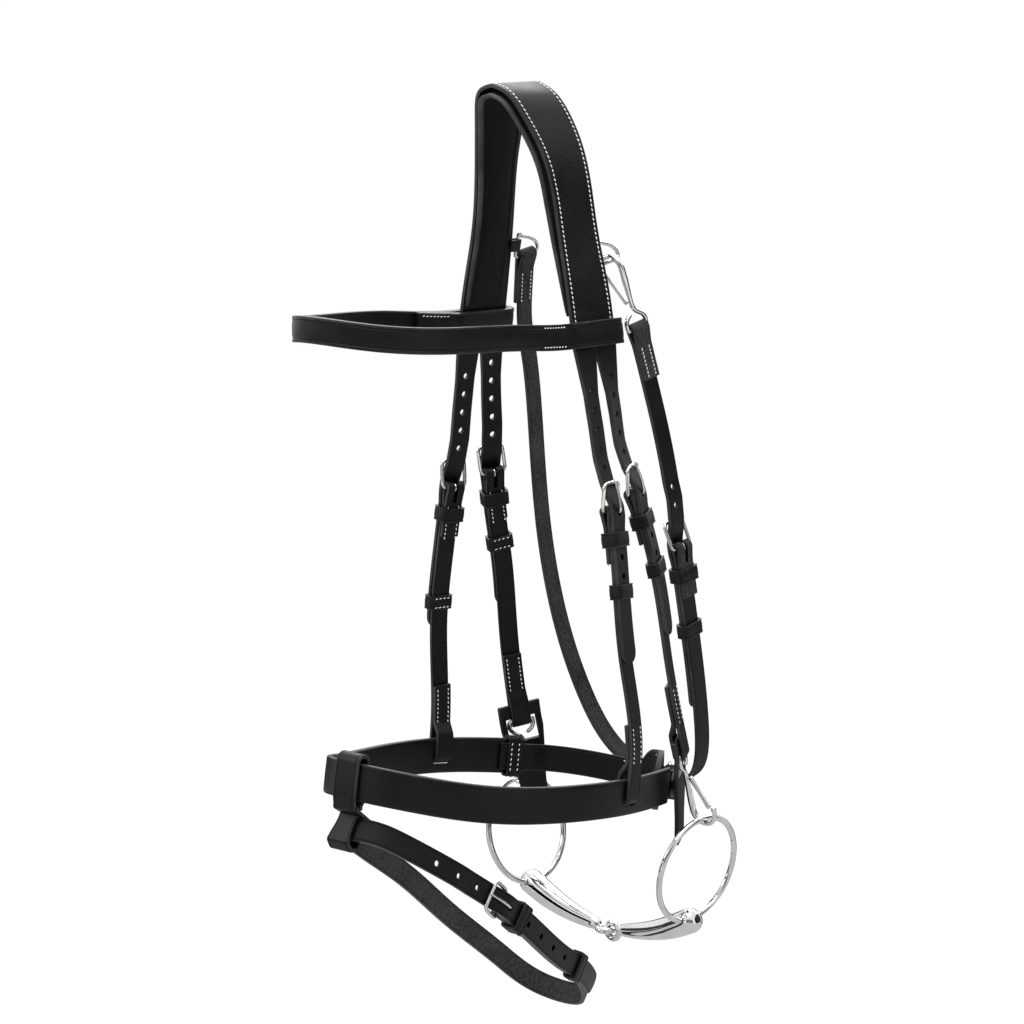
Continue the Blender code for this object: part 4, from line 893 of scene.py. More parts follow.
def tiled(name: str, pattern: Piece, places: Sequence[np.ndarray]) -> Piece:
    """Copies of one small piece at given places as one object, the pattern used up."""
    faces = [tuple(p.vertices) for p in pattern.data.polygons]
    count = len(pattern.data.vertices)
    all_faces = [tuple(v + k * count for v in face) for k in range(len(places)) for face in faces]
    mesh = bpy.data.meshes.new(name)
    mesh.from_pydata(np.concatenate(places).tolist(), [], all_faces)
    mesh.polygons.foreach_set("use_smooth", [True] * len(all_faces))
    obj = bpy.data.objects.new(name, mesh)
    bpy.context.scene.collection.objects.link(obj)
    bpy.data.objects.remove(pattern, do_unlink=True)
    return obj


@dataclass
class Row:
    """A row of stitches on a route: from and to in metres along it, how far across, and how high."""

    route: Route
    start: float
    end: float
    across: float
    up: float


@dataclass
class Stitching:
    """Rows of saddle stitches in waxed thread."""

    pitch: float = 0.0028
    length: float = 0.0021
    width: float = 0.00078
    slant: float = 12.0

    def sew(self, node: str, rows: Sequence[Row], thread: bpy.types.Material) -> None:
        """Sews the rows as one piece, on the body of the strap that they hold.

        Args:
            node: that strap's node.
            rows: where they run.
            thread: the thread's material.
        """
        deselect()
        bpy.ops.mesh.primitive_uv_sphere_add(segments=6, ring_count=4, radius=0.5)
        stitch = just_added("stitch")
        bpy.ops.transform.resize(value=(self.length, self.width, self.width * 0.8))
        bpy.ops.object.transform_apply(location=False, rotation=False, scale=True)
        shape = points_of(stitch) @ np.array(Matrix.Rotation(-math.radians(self.slant), 3, "Z"))
        places = []
        for row in rows:
            count = max(1, int(abs(row.end - row.start) / self.pitch))
            for k in range(count):
                x = row.start + (row.end - row.start) * ((k + 0.5) / count)
                places.append(row.route.carry(shape + np.array([x, row.across, row.up])))
        obj = tiled(node + "_stitches", stitch, places)
        obj.data.materials.append(thread)
        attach(obj, BODY_OF[node])
        LOG.info("%s: %d faces", obj.name, len(obj.data.polygons))


def punch(obj: Piece, line: Line, spots: Sequence[Stop]) -> None:
    """Punches round holes through a strap, each at a distance along its line and a height."""
    deselect()
    bpy.ops.mesh.primitive_cylinder_add(vertices=20, radius=STOCK.hole, depth=STOCK.leather * 2)
    tool = just_added("punch")
    shape = points_of(tool)
    places = []
    for s, n in spots:
        place, _, out, _ = line.frame(s)
        turn = np.array(out.to_track_quat("Z", "Y").to_matrix())
        places.append(shape @ turn.T + np.array(tuple(place + out * n)))
    carve(obj, tiled("punch", tool, places))


def carve(obj: Piece, tool: Piece, operation: str = "DIFFERENCE") -> None:
    """Cuts with a tool or joins it on, and removes the tool."""
    apply(obj, "BOOLEAN", object=tool, operation=operation, solver="EXACT")
    bpy.data.objects.remove(tool, do_unlink=True)


def slit(obj: Piece, line: Line, s: Stop, n: Stop, b: Stop) -> None:
    """Cuts a straight-sided slit, from and to along the line, in height and across."""
    deselect()
    bpy.ops.mesh.primitive_cube_add(size=1.0)
    tool = just_added("slit")
    corners = points_of(tool)
    places = [line.at(s[int(x > 0)], n[int(z > 0)], b[int(y > 0)]) for x, y, z in corners]
    move_points(tool, rows_of(places))
    edit(tool, "FACE", np.ones(6, bool))
    done_editing()
    carve(obj, tool)


def fit(obj: Piece, node: str, slot: Slot, *finishes: bpy.types.Material) -> None:
    """Dresses a finished piece, sets it on its body and lets it stand for its solid.

    Args:
        obj: the piece.
        node: the frame's node that it stands for.
        slot: the record's material slot; not used.
        finishes: its material, or one for each face of the leather.
    """
    obj.name = obj.data.name = node + "_finished"
    faces = np.empty(len(obj.data.polygons), np.int32)
    obj.data.polygons.foreach_get("material_index", faces)
    obj.data.materials.clear()
    for finish in finishes:
        obj.data.materials.append(finish)
    obj.data.polygons.foreach_set("material_index", np.minimum(faces, len(finishes) - 1))
    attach(obj, BODY_OF[node])
    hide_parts(node)
    LOG.info("%s: %d faces", obj.name, len(obj.data.polygons))


@dataclass
class Buckle:
    """A wire buckle with its tongue and keepers, in the coordinates of its strap line."""

    line: Line
    heel: float
    finishes: Finishes
    width: float = STOCK.strap
    up: float = 1.0
    billet: float = STOCK.billet
    wire: float = 0.00125
    length: float = 0.018
    rise: float = 0.0050
    side_room: float = 0.0006
    corner: float = 0.0035
    tongue_wire: float = 0.0009
    keeper_thick: float = 0.0016
    keeper_length: float = 0.0095
    keeper_corner: float = 0.0016
    fixed_at: float = 0.0185

    @property
    def middle(self) -> float:
        """The heel bar's height."""
        return -STOCK.lie / 2

    @property
    def fold(self) -> float:
        """The radius of the leather folded round the heel bar."""
        return self.wire + STOCK.gap + STOCK.leather / 2

    @property
    def over(self) -> float:
        """How far the billet lies out from the heel bar."""
        return self.fold + STOCK.lie

    def spot(self, x: float, y: float) -> Stop:
        """A place towards the frame's top and outward, both from the heel bar, as a stop."""
        return self.heel - x * self.up, self.middle + y

    def point(self, x: float, y: float, b: float = 0.0) -> Vector:
        """The same as a place."""
        s, n = self.spot(x, y)
        return self.line.at(s, n, b)

    def lower_path(self) -> list[Stop]:
        """The lower strap's folded end: the return leg, the bend round the heel bar, then the outer layer."""
        layer = STOCK.lie / 2
        path = [(-STOCK.fold_return, -layer), (-STOCK.fold_flare, -layer)]
        path += arc(0.0, 0.0, self.fold, -110.0, 110.0)
        path += [(-STOCK.fold_flare, layer), (-STOCK.fold_flare - STOCK.step, layer)]
        return [self.spot(x, y) for x, y in path]

    def billet_over(self) -> list[Stop]:
        """The billet's stops from the top bar down on to the lower strap."""
        under = self.rise - self.wire - STOCK.gap * 3 - STOCK.leather / 2
        stops = [(self.length + STOCK.step, under - self.wire), (self.length, under),
                 (self.wire * 2, self.over),
                 (-self.wire * 3, self.over), (-STOCK.fold_flare - self.keeper_thick, STOCK.lie * 3 / 2)]
        return [self.spot(x, y) for x, y in stops]

    def tongue_slot(self, obj: Piece) -> None:
        """Cuts the slot in the fold that the tongue's eye sits in."""
        half = self.tongue_wire + 0.0004
        reach = self.fold + STOCK.leather
        s = sorted((self.heel - reach * self.up, self.heel + STOCK.fold_flare * self.up))
        slit(obj, self.line, (s[0], s[1]), (self.middle - reach, self.middle + reach), (-half, half))

    def hardware(self, frame_node: str, tongue_node: str) -> None:
        """Makes the frame, tilted outward at its top, and the tongue hooked on its heel bar."""
        half = self.billet / 2 + self.side_room + self.wire
        tall = math.hypot(self.length, self.rise)
        points = []
        for v, b, start in ((0.0, half, 90), (0.0, -half, 180), (tall, -half, 270), (tall, half, 0)):
            v_in = v + self.corner if v == 0.0 else v - self.corner
            b_in = b - math.copysign(self.corner, b)
            for degrees in (0, 22.5, 45, 67.5, 90):
                angle = math.radians(start + degrees)
                v_at = v_in + self.corner * math.cos(angle)
                b_at = b_in + self.corner * math.sin(angle)
                points.append(self.point(self.length * v_at / tall, self.rise * v_at / tall, b_at))
        obj = ring_on(frame_node, Route.wire(points, True, 2), self.wire, 96)
        fit(obj, frame_node, Slot.NICKEL, self.finishes.nickel)
        eye = self.wire + STOCK.gap + self.tongue_wire
        flat = [(eye * math.cos(math.radians(a)), eye * math.sin(math.radians(a))) for a in
                (30, -5, -40, -75, -110, -145, -170, -195)]
        over = self.fold + STOCK.leather / 2 * 3 + STOCK.gap * 2 + self.tongue_wire
        foot = flat[-1]
        climb = over - foot[1]
        flat.append((foot[0] + climb * math.sin(math.radians(15)) ** 2 * 2, over - self.tongue_wire))
        flat.append((flat[-1][0] + self.tongue_wire * 2, over + STOCK.gap))
        flat.append((self.length / 2, over + self.tongue_wire))
        flat.append((self.length, self.rise + self.wire + STOCK.gap * 2 + self.tongue_wire))
        flat.append((self.length + self.wire * 2, self.rise + self.wire + self.tongue_wire))
        route = Route.wire([self.point(x, y) for x, y in flat], rounds=2)
        taper = [(0.0, 1.0), (0.45, 1.12), (0.75, 1.0), (1.0, 0.72)]
        fit(bar_on(tongue_node, route, self.tongue_wire, taper, 12), tongue_node, Slot.NICKEL,
            self.finishes.nickel)

    def keepers(self, name: str, runner_at: float = 0.052, sewn: bool = False) -> None:
        """Makes the sewn keeper by the buckle and the running keeper further on, where there is one."""
        high = STOCK.lie * 3 / 2 + self.middle + STOCK.leather / 2 + STOCK.gap * 2
        low = -STOCK.leather / 2 - STOCK.gap
        half = max(self.width, self.billet) / 2 + STOCK.gap
        self.keeper(name + "_fixed_keeper", self.heel + self.fixed_at * self.up, low - STOCK.lie, high, half,
                    False)
        if runner_at:
            self.keeper(name + "_running_keeper", self.heel + runner_at * self.up, low, high, half, sewn)

    def keeper(self, node: str, s: float, low: float, high: float, half: float, sewn: bool) -> None:
        """Makes one keeper at s on the line, from the heights of its inner faces and half its inner width."""
        route = Route.loop(self.line, s, low, high, half, self.keeper_thick, self.keeper_corner)
        # The keeper's rims are lightened a little less: partly wear, partly a painted highlight.
        strip = Strip(node, route, self.keeper_length, self.keeper_thick, crease=0.0012, ease=0.0004,
                      wear_and_highlight_amount=0.8)
        fit(strip.make(), node, Slot.STRAP, self.finishes.strap)
        if sewn:
            reach, end = half * 0.85, route.length
            spans = ((0.0, reach), (end / 2 - reach, end / 2 + reach), (end - reach, end))
            rows = [Row(route, a, b, across, self.keeper_thick / 2)
                    for a, b in spans for across in (-0.0031, 0.0031)]
            Stitching(0.0024).sew(node, rows, self.finishes.thread)


def fold_rows(line: Line, s0: float, s1: float, half: float, under: float, top: float) -> list[Row]:
    """Two rows of stitches through a folded strap, seen on its underside and on its top."""
    rows = []
    for height in (under, top):
        route = Route.strap(line, [(min(s0, s1), height), (max(s0, s1), height)], 0)
        rows += [Row(route, 0.0, route.length, across, 0.0) for across in (-half, half)]
    return rows


@dataclass
class StrapLines:
    """The middle lines of the straps and the two edges of the headpiece, as shares of the head form."""

    crown_front: tuple[Share, ...] = (
        (0.00, -0.145, 0.000), (0.14, -0.140, 0.008), (0.26, -0.100, 0.040), (0.38, -0.035, 0.100),
        (0.475, 0.000, 0.200), (0.58, 0.000, 0.290), (0.655, 0.000, 0.365))
    crown_rear: tuple[Share, ...] = (
        (0.00, 0.145, 0.000), (0.14, 0.155, 0.012), (0.26, 0.190, 0.045), (0.38, 0.220, 0.105),
        (0.475, 0.240, 0.205), (0.57, 0.260, 0.290), (0.635, 0.265, 0.365))
    hanger_way: tuple[Share, ...] = (
        (0.660, 0.065, 0.372), (0.775, 0.080, 0.487), (0.900, 0.095, 0.587), (0.985, 0.090, 0.683),
        (1.060, 0.090, 0.787), (1.115, 0.105, 0.891))
    cheek_way: tuple[Share, ...] = (
        (0.650, 0.200, 0.372), (0.740, 0.255, 0.507), (0.840, 0.330, 0.615), (0.880, 0.405, 0.711),
        (0.915, 0.460, 0.822), (0.955, 0.550, 0.953))
    noseband_way: tuple[Share, ...] = (
        (0.000, -1.000, 0.936), (0.430, -0.905, 0.945), (0.820, -0.640, 0.966), (1.060, -0.270, 0.980),
        (1.080, 0.080, 0.989), (0.860, 0.430, 1.002), (0.490, 0.740, 1.020), (0.000, 0.880, 1.034))
    band_thick: float = 0.0040
    band_width: float = 0.024
    heel_shares: dict[str, float] = field(default_factory=lambda: {"hanger": 0.350, "cheek": 0.340})

    def __post_init__(self) -> None:
        """Fits the lines."""
        front = spline(HEAD.points(self.crown_front), 14)
        rear = spline(HEAD.points(self.crown_rear), 14)
        self.crown = [(Vector(f), Vector(r)) for f, r in zip(front, rear)]
        half = HEAD.points(self.noseband_way)
        across = (half[0] - half[-1]).cross(Vector((1, 0, 0))).normalized()
        self.noseband = Line(mirrored(half[:0:-1]) + half[:-1], across, 1.0, True)
        self.hanger = {}
        self.cheek = {}
        self.slots = {}
        for side in Side:
            self.fit_hanger(side)
            self.cheek[side] = self.side_line(HEAD.points(self.cheek_way), (12, 20, 24, 26, 28, 28), side)

    @property
    def seat(self) -> float:
        """How far a strap lies from the noseband's middle."""
        return self.band_thick / 2 + STOCK.gap * 2 + STOCK.leather / 2

    def fit_hanger(self, side: Side) -> None:
        """Fits one hanger's line, its lower end on the noseband."""
        route = HEAD.points(self.hanger_way)
        end = Vector((route[-1].x * side.value, route[-1].y, route[-1].z))
        span = (0.5, 1.0) if side is Side.NEAR else (0.0, 0.5)
        s = self.noseband.nearest(end, *span)
        place, _, out, across = self.noseband.frame(s)
        top = place + out * self.seat + across * (self.band_width / 2)
        low = place + out * self.seat
        yaw = math.degrees(math.atan2(out.y, abs(out.x)))
        if side is Side.FAR:
            top, low = mirrored([top, low])
        points = route[:-1] + [top + (top - low), top, low]
        self.hanger[side] = self.side_line(points, (10, 10, 12, 14, 10, yaw, yaw, yaw), side)
        self.slots[side] = s

    @staticmethod
    def side_line(points: list[Vector], yaws: Sequence[float], side: Side) -> Line:
        """A cheek line from the near side's places and the strap's yaw in degrees, or its mirror image."""
        across = [Vector((-math.sin(math.radians(yaw)), math.cos(math.radians(yaw)), 0)) for yaw in yaws]
        if side is Side.FAR:
            points = mirrored(points)
            across = mirrored(across)
        return Line(points, across, side.value)

    def buckle(self, kind: str, side: Side, finishes: Finishes) -> Buckle:
        """The buckle of a hanger or a cheek line."""
        line = (self.hanger if kind == "hanger" else self.cheek)[side]
        return Buckle(line, line.length * self.heel_shares[kind], finishes)

    def crown_frame(self, share: float, side: Side) -> tuple[Vector, Vector, Vector, Vector, float]:
        """The headpiece at a share of the way down to its split.

        Args:
            share: from 0 at the crown to 1 at the split.
            side: the side.

        Returns:
            Its middle, the ways down, across and out, and its width.
        """
        count = len(self.crown)
        i = min(int(share * (count - 1)), count - 2)
        part = share * (count - 1) - i
        f = self.crown[i][0].lerp(self.crown[i + 1][0], part)
        r = self.crown[i][1].lerp(self.crown[i + 1][1], part)
        down = (self.crown[i + 1][0] - self.crown[i][0] + self.crown[i + 1][1]
                - self.crown[i][1]).normalized()
        across = (r - f).normalized()
        down = (down - across * down.dot(across)).normalized()
        out = down.cross(across).normalized()
        out = -out if out.x < 0 else out
        middle = (f + r) / 2
        if side is Side.FAR:
            middle, down, across, out = mirrored([middle, down, across, out])
        return middle, down, across, out, (r - f).length


@dataclass
class Headpiece:
    """The crown strap with its four billets, the stitching along its edges and the padding under it."""

    lines: StrapLines
    finishes: Finishes
    holes: int = 5
    billet_tail: float = 0.098
    rows: int = 90
    stitch_in: float = 0.0030
    stitch_end: float = 0.93
    pad_end: float = 0.88
    pad_front: float = 0.0030
    pad_rear: float = 0.007
    taper: float = 0.45
    thin_end: float = 0.38

    def make(self) -> None:
        """Makes the leather, its stitches and the padding."""
        self.edges()
        self.leather()
        self.stitches()
        self.padding()

    def edges(self) -> None:
        """Works out the crown's two edges, and the way out at each stop."""
        self.front = spline(HEAD.points(self.lines.crown_front), self.rows)
        self.rear = spline(HEAD.points(self.lines.crown_rear), self.rows)
        way = np.gradient(self.front, axis=0) + np.gradient(self.rear, axis=0)
        way[0] = (1.0, 0.0, 0.0)
        out = unit(np.cross(way, self.rear - self.front))
        self.out = out * np.where(out[:, 0] * 0.5 + out[:, 2] < 0, -1.0, 1.0)[:, None]

    def half(self, kind: str) -> tuple[np.ndarray, np.ndarray, np.ndarray]:
        """One half of the near side: its front and rear edges, and whether its inner edge is lightened,
        partly as wear and partly as a painted highlight.
        """
        buckle = self.lines.buckle(kind, Side.NEAR, self.finishes)
        path = [(STOCK.step, 0.0), (buckle.heel - buckle.length * 3, 0.0)] + buckle.billet_over()
        route = Route.strap(buckle.line, path + [(buckle.heel + self.billet_tail, STOCK.lie)], 2)
        reach = STOCK.billet * 0.55
        x = np.concatenate([route.x[route.x < route.length - reach * 1.05],
                            route.length - reach + reach * np.sin(np.linspace(0.0, math.pi / 2, 11))])
        share = np.sqrt(1.0 - (0.93 * np.clip((x - route.length + reach) / reach, 0.0,
                                              1.0)) ** 2) * STOCK.billet / 2
        sides = [route.carry(np.stack([x, share * sign, x * 0.0], axis=1)) for sign in (-1.0, 1.0)]
        middle = (self.front + self.rear) / 2
        crown = (self.front, middle) if kind == "hanger" else (middle, self.rear)
        joined = []
        for above, below in zip(crown, sides):
            bend = rounded(filled(np.concatenate([above[-6:-5],
                                                  above[-1:] * 0.35 + (above[-6:-5] + (above[-1:] -
             above[-6:-5]) * 0.8) * 0.65, below[3:4]]), 0.004), 3)
            bend = bend[np.linspace(0, len(bend) - 1, 12).round().astype(int)]
            joined.append(np.concatenate([above[:-6], bend, below[4:]]))
        wear_and_highlight = np.concatenate([np.zeros(len(self.front) - 6), np.ones(12 + len(x) - 4)])
        return joined[0], joined[1], wear_and_highlight

    def leather(self) -> None:
        """Cuts the strap as two halves joined along the crown, slit below it, then punches the billets."""
        places = np.array([0.0, 0.05, 0.25, 0.5, 0.75, 0.95, 1.0])
        halves = []
        for kind, outer, inner in (("hanger", 0, 6), ("cheek", 6, 0)):
            front, rear, wear_and_highlight = self.half(kind)
            grid = front[:, None] + (rear - front)[:, None] * places[None, :, None]
            grid = np.concatenate([(grid * (-1.0, 1.0, 1.0))[:0:-1], grid])
            wear_and_highlight = np.concatenate([wear_and_highlight[:0:-1], wear_and_highlight])
            obj, row, column = sheet_of("crown_" + kind, len(grid), len(places))
            move_points(obj, grid[row, column])
            # Lightens the outer rim and the billets' inner rims: partly wear, partly a painted highlight.
            keep_value(obj, "worn_edge", np.where(column == outer, 1.0,
                                                  np.where(column == inner, wear_and_highlight[row], 0.0)))
            halves.append(obj)
        take(halves[0])
        halves[1].select_set(True)
        bpy.ops.object.join()
        obj = halves[0]
        edit(obj, "FACE", np.ones(len(obj.data.polygons), bool))
        bpy.ops.mesh.remove_doubles(threshold=1e-5)
        done_editing()
        apply(obj, "SOLIDIFY", thickness=STOCK.leather, offset=0.0, use_even_offset=True)
        ease_edges(obj, 0.0006)
        for kind in ("hanger", "cheek"):
            for side in Side:
                buckle = self.lines.buckle(kind, side, self.finishes)
                spots = [(buckle.heel - buckle.length - STOCK.pitch * (k + 0.8), 0.0)
                         for k in range(self.holes)]
                spots.append(buckle.spot(-buckle.tongue_wire * 2, buckle.over))
                spots += [(buckle.heel + buckle.fixed_at + STOCK.pitch * (k + 0.9), STOCK.lie)
                          for k in range(2)]
                punch(obj, buckle.line, spots)
        smooth(obj)
        fit(obj, "headpiece", Slot.STRAP, self.finishes.strap)

    def stitches(self) -> None:
        """Sews a row along each edge of the crown strap."""
        rows = []
        across = unit(self.rear - self.front)
        stop = int((self.rows - 1) * self.stitch_end) + 1
        for edge, inward in ((self.front, self.stitch_in), (self.rear, -self.stitch_in)):
            places = edge + across * inward + self.out * (STOCK.leather / 2)
            for sign in (1.0, -1.0):
                turned = np.array([sign, 1.0, 1.0])
                route = Route((places * turned)[:stop], (self.out * turned)[:stop], (across * turned)[:stop])
                rows.append(Row(route, 0.0, route.length, 0.0, 0.0001))
        Stitching(0.0030, 0.0023, 0.00095).sew("headpiece", rows, self.finishes.thread)

    def padding(self) -> None:
        """Makes the soft roll under the crown, with a sewn channel inside each edge."""
        stop = int((self.rows - 1) * self.pad_end)
        across = unit(self.rear - self.front)
        full = np.clip((1.0 - np.linspace(0.0, 1.0, stop + 1)) / self.taper, 0.0, 1.0) ** 0.8
        slim = (self.thin_end + (1.0 - self.thin_end) * full)[:, None]
        front = self.front[:stop + 1] - across[:stop + 1] * (self.pad_front * slim)
        rear = (self.rear - across * self.pad_rear)[:stop + 1]
        out = self.out[:stop + 1]
        middle = (front + rear) / 2 - out * (STOCK.leather / 2 + STOCK.gap * 2 + HEAD.pad / 2 * slim)
        wide = np.linalg.norm(rear - front, axis=1) / 2
        turned = np.array([-1.0, 1.0, 1.0])
        route = Route(np.concatenate([(middle * turned)[:0:-1], middle]),
                      np.concatenate([(out * turned)[:0:-1], out]),
                      np.concatenate([(across[:stop + 1] * turned)[:0:-1], across[:stop + 1]]))
        widths = np.concatenate([wide[:0:-1], wide])
        slims = np.concatenate([slim[:0:-1, 0], slim[:, 0]])
        obj = rod("padding", 48, 1.0, 1.0, -0.5)
        cut_along(obj, 0.5, 99)
        bpy.ops.object.mode_set(mode="OBJECT")
        caps = np.array([len(p.vertices) > 4 for p in obj.data.polygons])
        edit(obj, "FACE", caps)
        bpy.ops.mesh.inset(thickness=0.12)
        bpy.ops.mesh.inset(thickness=0.4)
        done_editing()
        flat = points_of(obj)
        angle = np.arctan2(flat[:, 2], flat[:, 1])
        size = np.hypot(flat[:, 1], flat[:, 2])
        u = np.copysign(np.abs(np.cos(angle)) ** 0.5, np.cos(angle)) * size
        v = np.copysign(np.abs(np.sin(angle)) ** 0.7, np.sin(angle)) * size
        channel = np.exp(-((np.abs(u) - 0.74) / 0.045) ** 2) * 0.34 * (v < 0)
        swell = np.where(v < 0, 1.0 + 0.10 * np.cos(u * math.pi / 0.74 * 1.0) * (np.abs(u) < 0.74), 1.0)
        x = (flat[:, 0] + 0.5) * route.length
        half = np.interp(x, route.x, widths)
        taper = np.clip(np.minimum(x, route.length - x) / 0.004, 0.25, 1.0) ** 0.5
        puckers = 0.02 * np.sin(x * 1400.0 + np.sign(u) * 1.3) * np.exp(-((np.abs(u) - 0.86) / 0.12) ** 2)
        taper *= np.interp(x, route.x, slims)
        bead = np.clip((-0.64 - u) / 0.14, 0.0, 1.0)
        swell *= 1.0 - bead * np.where(v > 0, 0.72, 0.18)
        height = (v * swell + channel + puckers * (v < 0)) * HEAD.pad / 2 * taper
        move_points(obj, route.carry(np.stack([x, u * half * (0.9 + 0.1 * taper), height], axis=1)))
        # Painted highlight: the pad's front roll is lightened towards the pad finish's light rim colour,
        # where the roll catches the light.
        keep_value(obj, "worn_edge", np.clip((-u - 0.78) / 0.10, 0.0, 1.0))
        smooth(obj, 60.0)
        fit(obj, "headpiece_padding", Slot.PAD, self.finishes.pad)


@dataclass
class Browband:
    """The browband, each end folded round the headpiece and sewn to its own inner face."""

    lines: StrapLines
    finishes: Finishes
    way: tuple[Share, ...] = ((0.000, -1.195, 0.311), (0.420, -1.075, 0.319), (0.690, -0.760, 0.328),
                              (0.735, -0.420, 0.333))
    width: float = 0.0165
    thick: float = 0.0042
    loop_back: float = 0.034
    share: float = 0.945

    def make(self) -> None:
        """Makes the band and its rows of stitches."""
        seat = STOCK.leather / 2 + STOCK.gap * 2 + self.thick / 2
        middle, down, across, out, width = self.lines.crown_frame(self.share, Side.NEAR)
        end = [middle + out * seat + across * (width * share) for share in (-0.75, -0.25, 0.25, 0.75)]
        half = HEAD.points(self.way) + end
        tops = [Vector((0, 0, 1))] * len(self.way) + [-down] * len(end)
        line = Line(mirrored(half[:0:-1]) + half, mirrored(tops[:0:-1]) + tops, 1.0)
        back = line.length - width * 0.25 + STOCK.gap
        lie = -(self.thick + STOCK.gap)
        front = back - width - self.thick
        near_end = arc(back, -seat, seat, 90, -90)
        near_end += [(front, -2 * seat), (front - self.thick * 2, lie), (front - self.loop_back, lie)]
        far_end = [(line.length - s, n) for s, n in near_end][::-1]
        route = Route.strap(line, far_end + near_end, 2, 0.005)
        strip = Strip("browband", route, self.width, self.thick, crease=0.0024, crown=0.0002, ease=0.0011)
        fit(strip.make(), "browband", Slot.STRAP, self.finishes.band)
        rows = []
        loop = self.loop_back + width + math.pi * seat
        edge = self.width / 2 - 0.0021
        tails = {Side.NEAR: (route.length - self.loop_back - self.thick, route.length),
                 Side.FAR: (0.0, self.loop_back + self.thick)}
        for side, (low, high) in tails.items():
            ends = [front - self.loop_back + 0.002, front - 0.008]
            if side is Side.FAR:
                ends = [line.length - s for s in ends[::-1]]
            for lie_at, span in ((0.0, (loop, route.length - loop)), (lie, (low, high))):
                spots = sorted(route.near(line.at(s, lie_at), *span) for s in ends)
                rows += [Row(route, *spots, across, self.thick / 2) for across in (-edge, edge)]
        Stitching().sew("browband", rows, self.finishes.thread)


@dataclass
class DeeRings:
    """A dee ring at each rear edge of the headpiece, its side held in a folded tab."""

    lines: StrapLines
    finishes: Finishes
    wire: float = 0.00125
    height: float = 0.0170
    slant: float = 0.22
    reach: float = 0.0200
    corner: float = 0.0025
    share: float = 0.66
    hang_share: float = 0.52
    tab: float = 0.0080
    bars: dict[Side, tuple[Vector, Vector, Vector]] = field(default_factory=dict)

    def make(self) -> None:
        """Makes both rings and tabs, and keeps where a strap hangs on each."""
        for side in Side:
            middle, down, across, out, width = self.lines.crown_frame(self.share, side)
            thin = STOCK.leather / 2
            fold = self.wire + STOCK.gap + thin / 2
            edge = middle + across * (width / 2 + self.wire) - out * (STOCK.leather / 2 + STOCK.gap + thin
                                                                      / 2 + fold)
            c = self.corner
            low = self.height / 2
            hang_at = self.reach * self.hang_share
            end = low - (self.reach - c * 2) * self.slant
            lower = [(0.0, low - c), (c * 0.3, low - c * 0.3), (c, low),
                     (hang_at, low - (hang_at - c) * self.slant),
                     (self.reach - c, end), (self.reach - c * 0.3, end - c * 0.3), (self.reach, end - c)]
            outline = lower + [(self.reach * math.cos(t) ** 0.85, end - c - (low + end - c * 2) * math.sin(t))
                               for t in np.radians(np.linspace(8.0, 84.0, 9))] + [(c * 0.4, -low),
                                                                                  (0.0, c - low)]
            points = [edge + across * a + down * d for a, d in outline]
            obj = ring_on("dee", Route.wire(points, True, 3), self.wire)
            fit(obj, "dee_ring_" + side.word, Slot.NICKEL, self.finishes.nickel)
            bar = edge + across * hang_at + down * (low - (hang_at - c) * self.slant)
            self.bars[side] = (bar, (across - down * self.slant).normalized(), out)
            run = Line([edge - across * self.tab, edge, edge + across * self.tab], down, 1.0)
            path = [(0.0, fold)] + arc(self.tab, 0.0, fold, 90, -90) + [(0.0, -fold)]
            strip = Strip("tab", Route.strap(run, path, 1, 0.002), self.tab, thin, ease=0.0003)
            fit(strip.make(), "dee_tab_" + side.word, Slot.STRAP, self.finishes.strap)


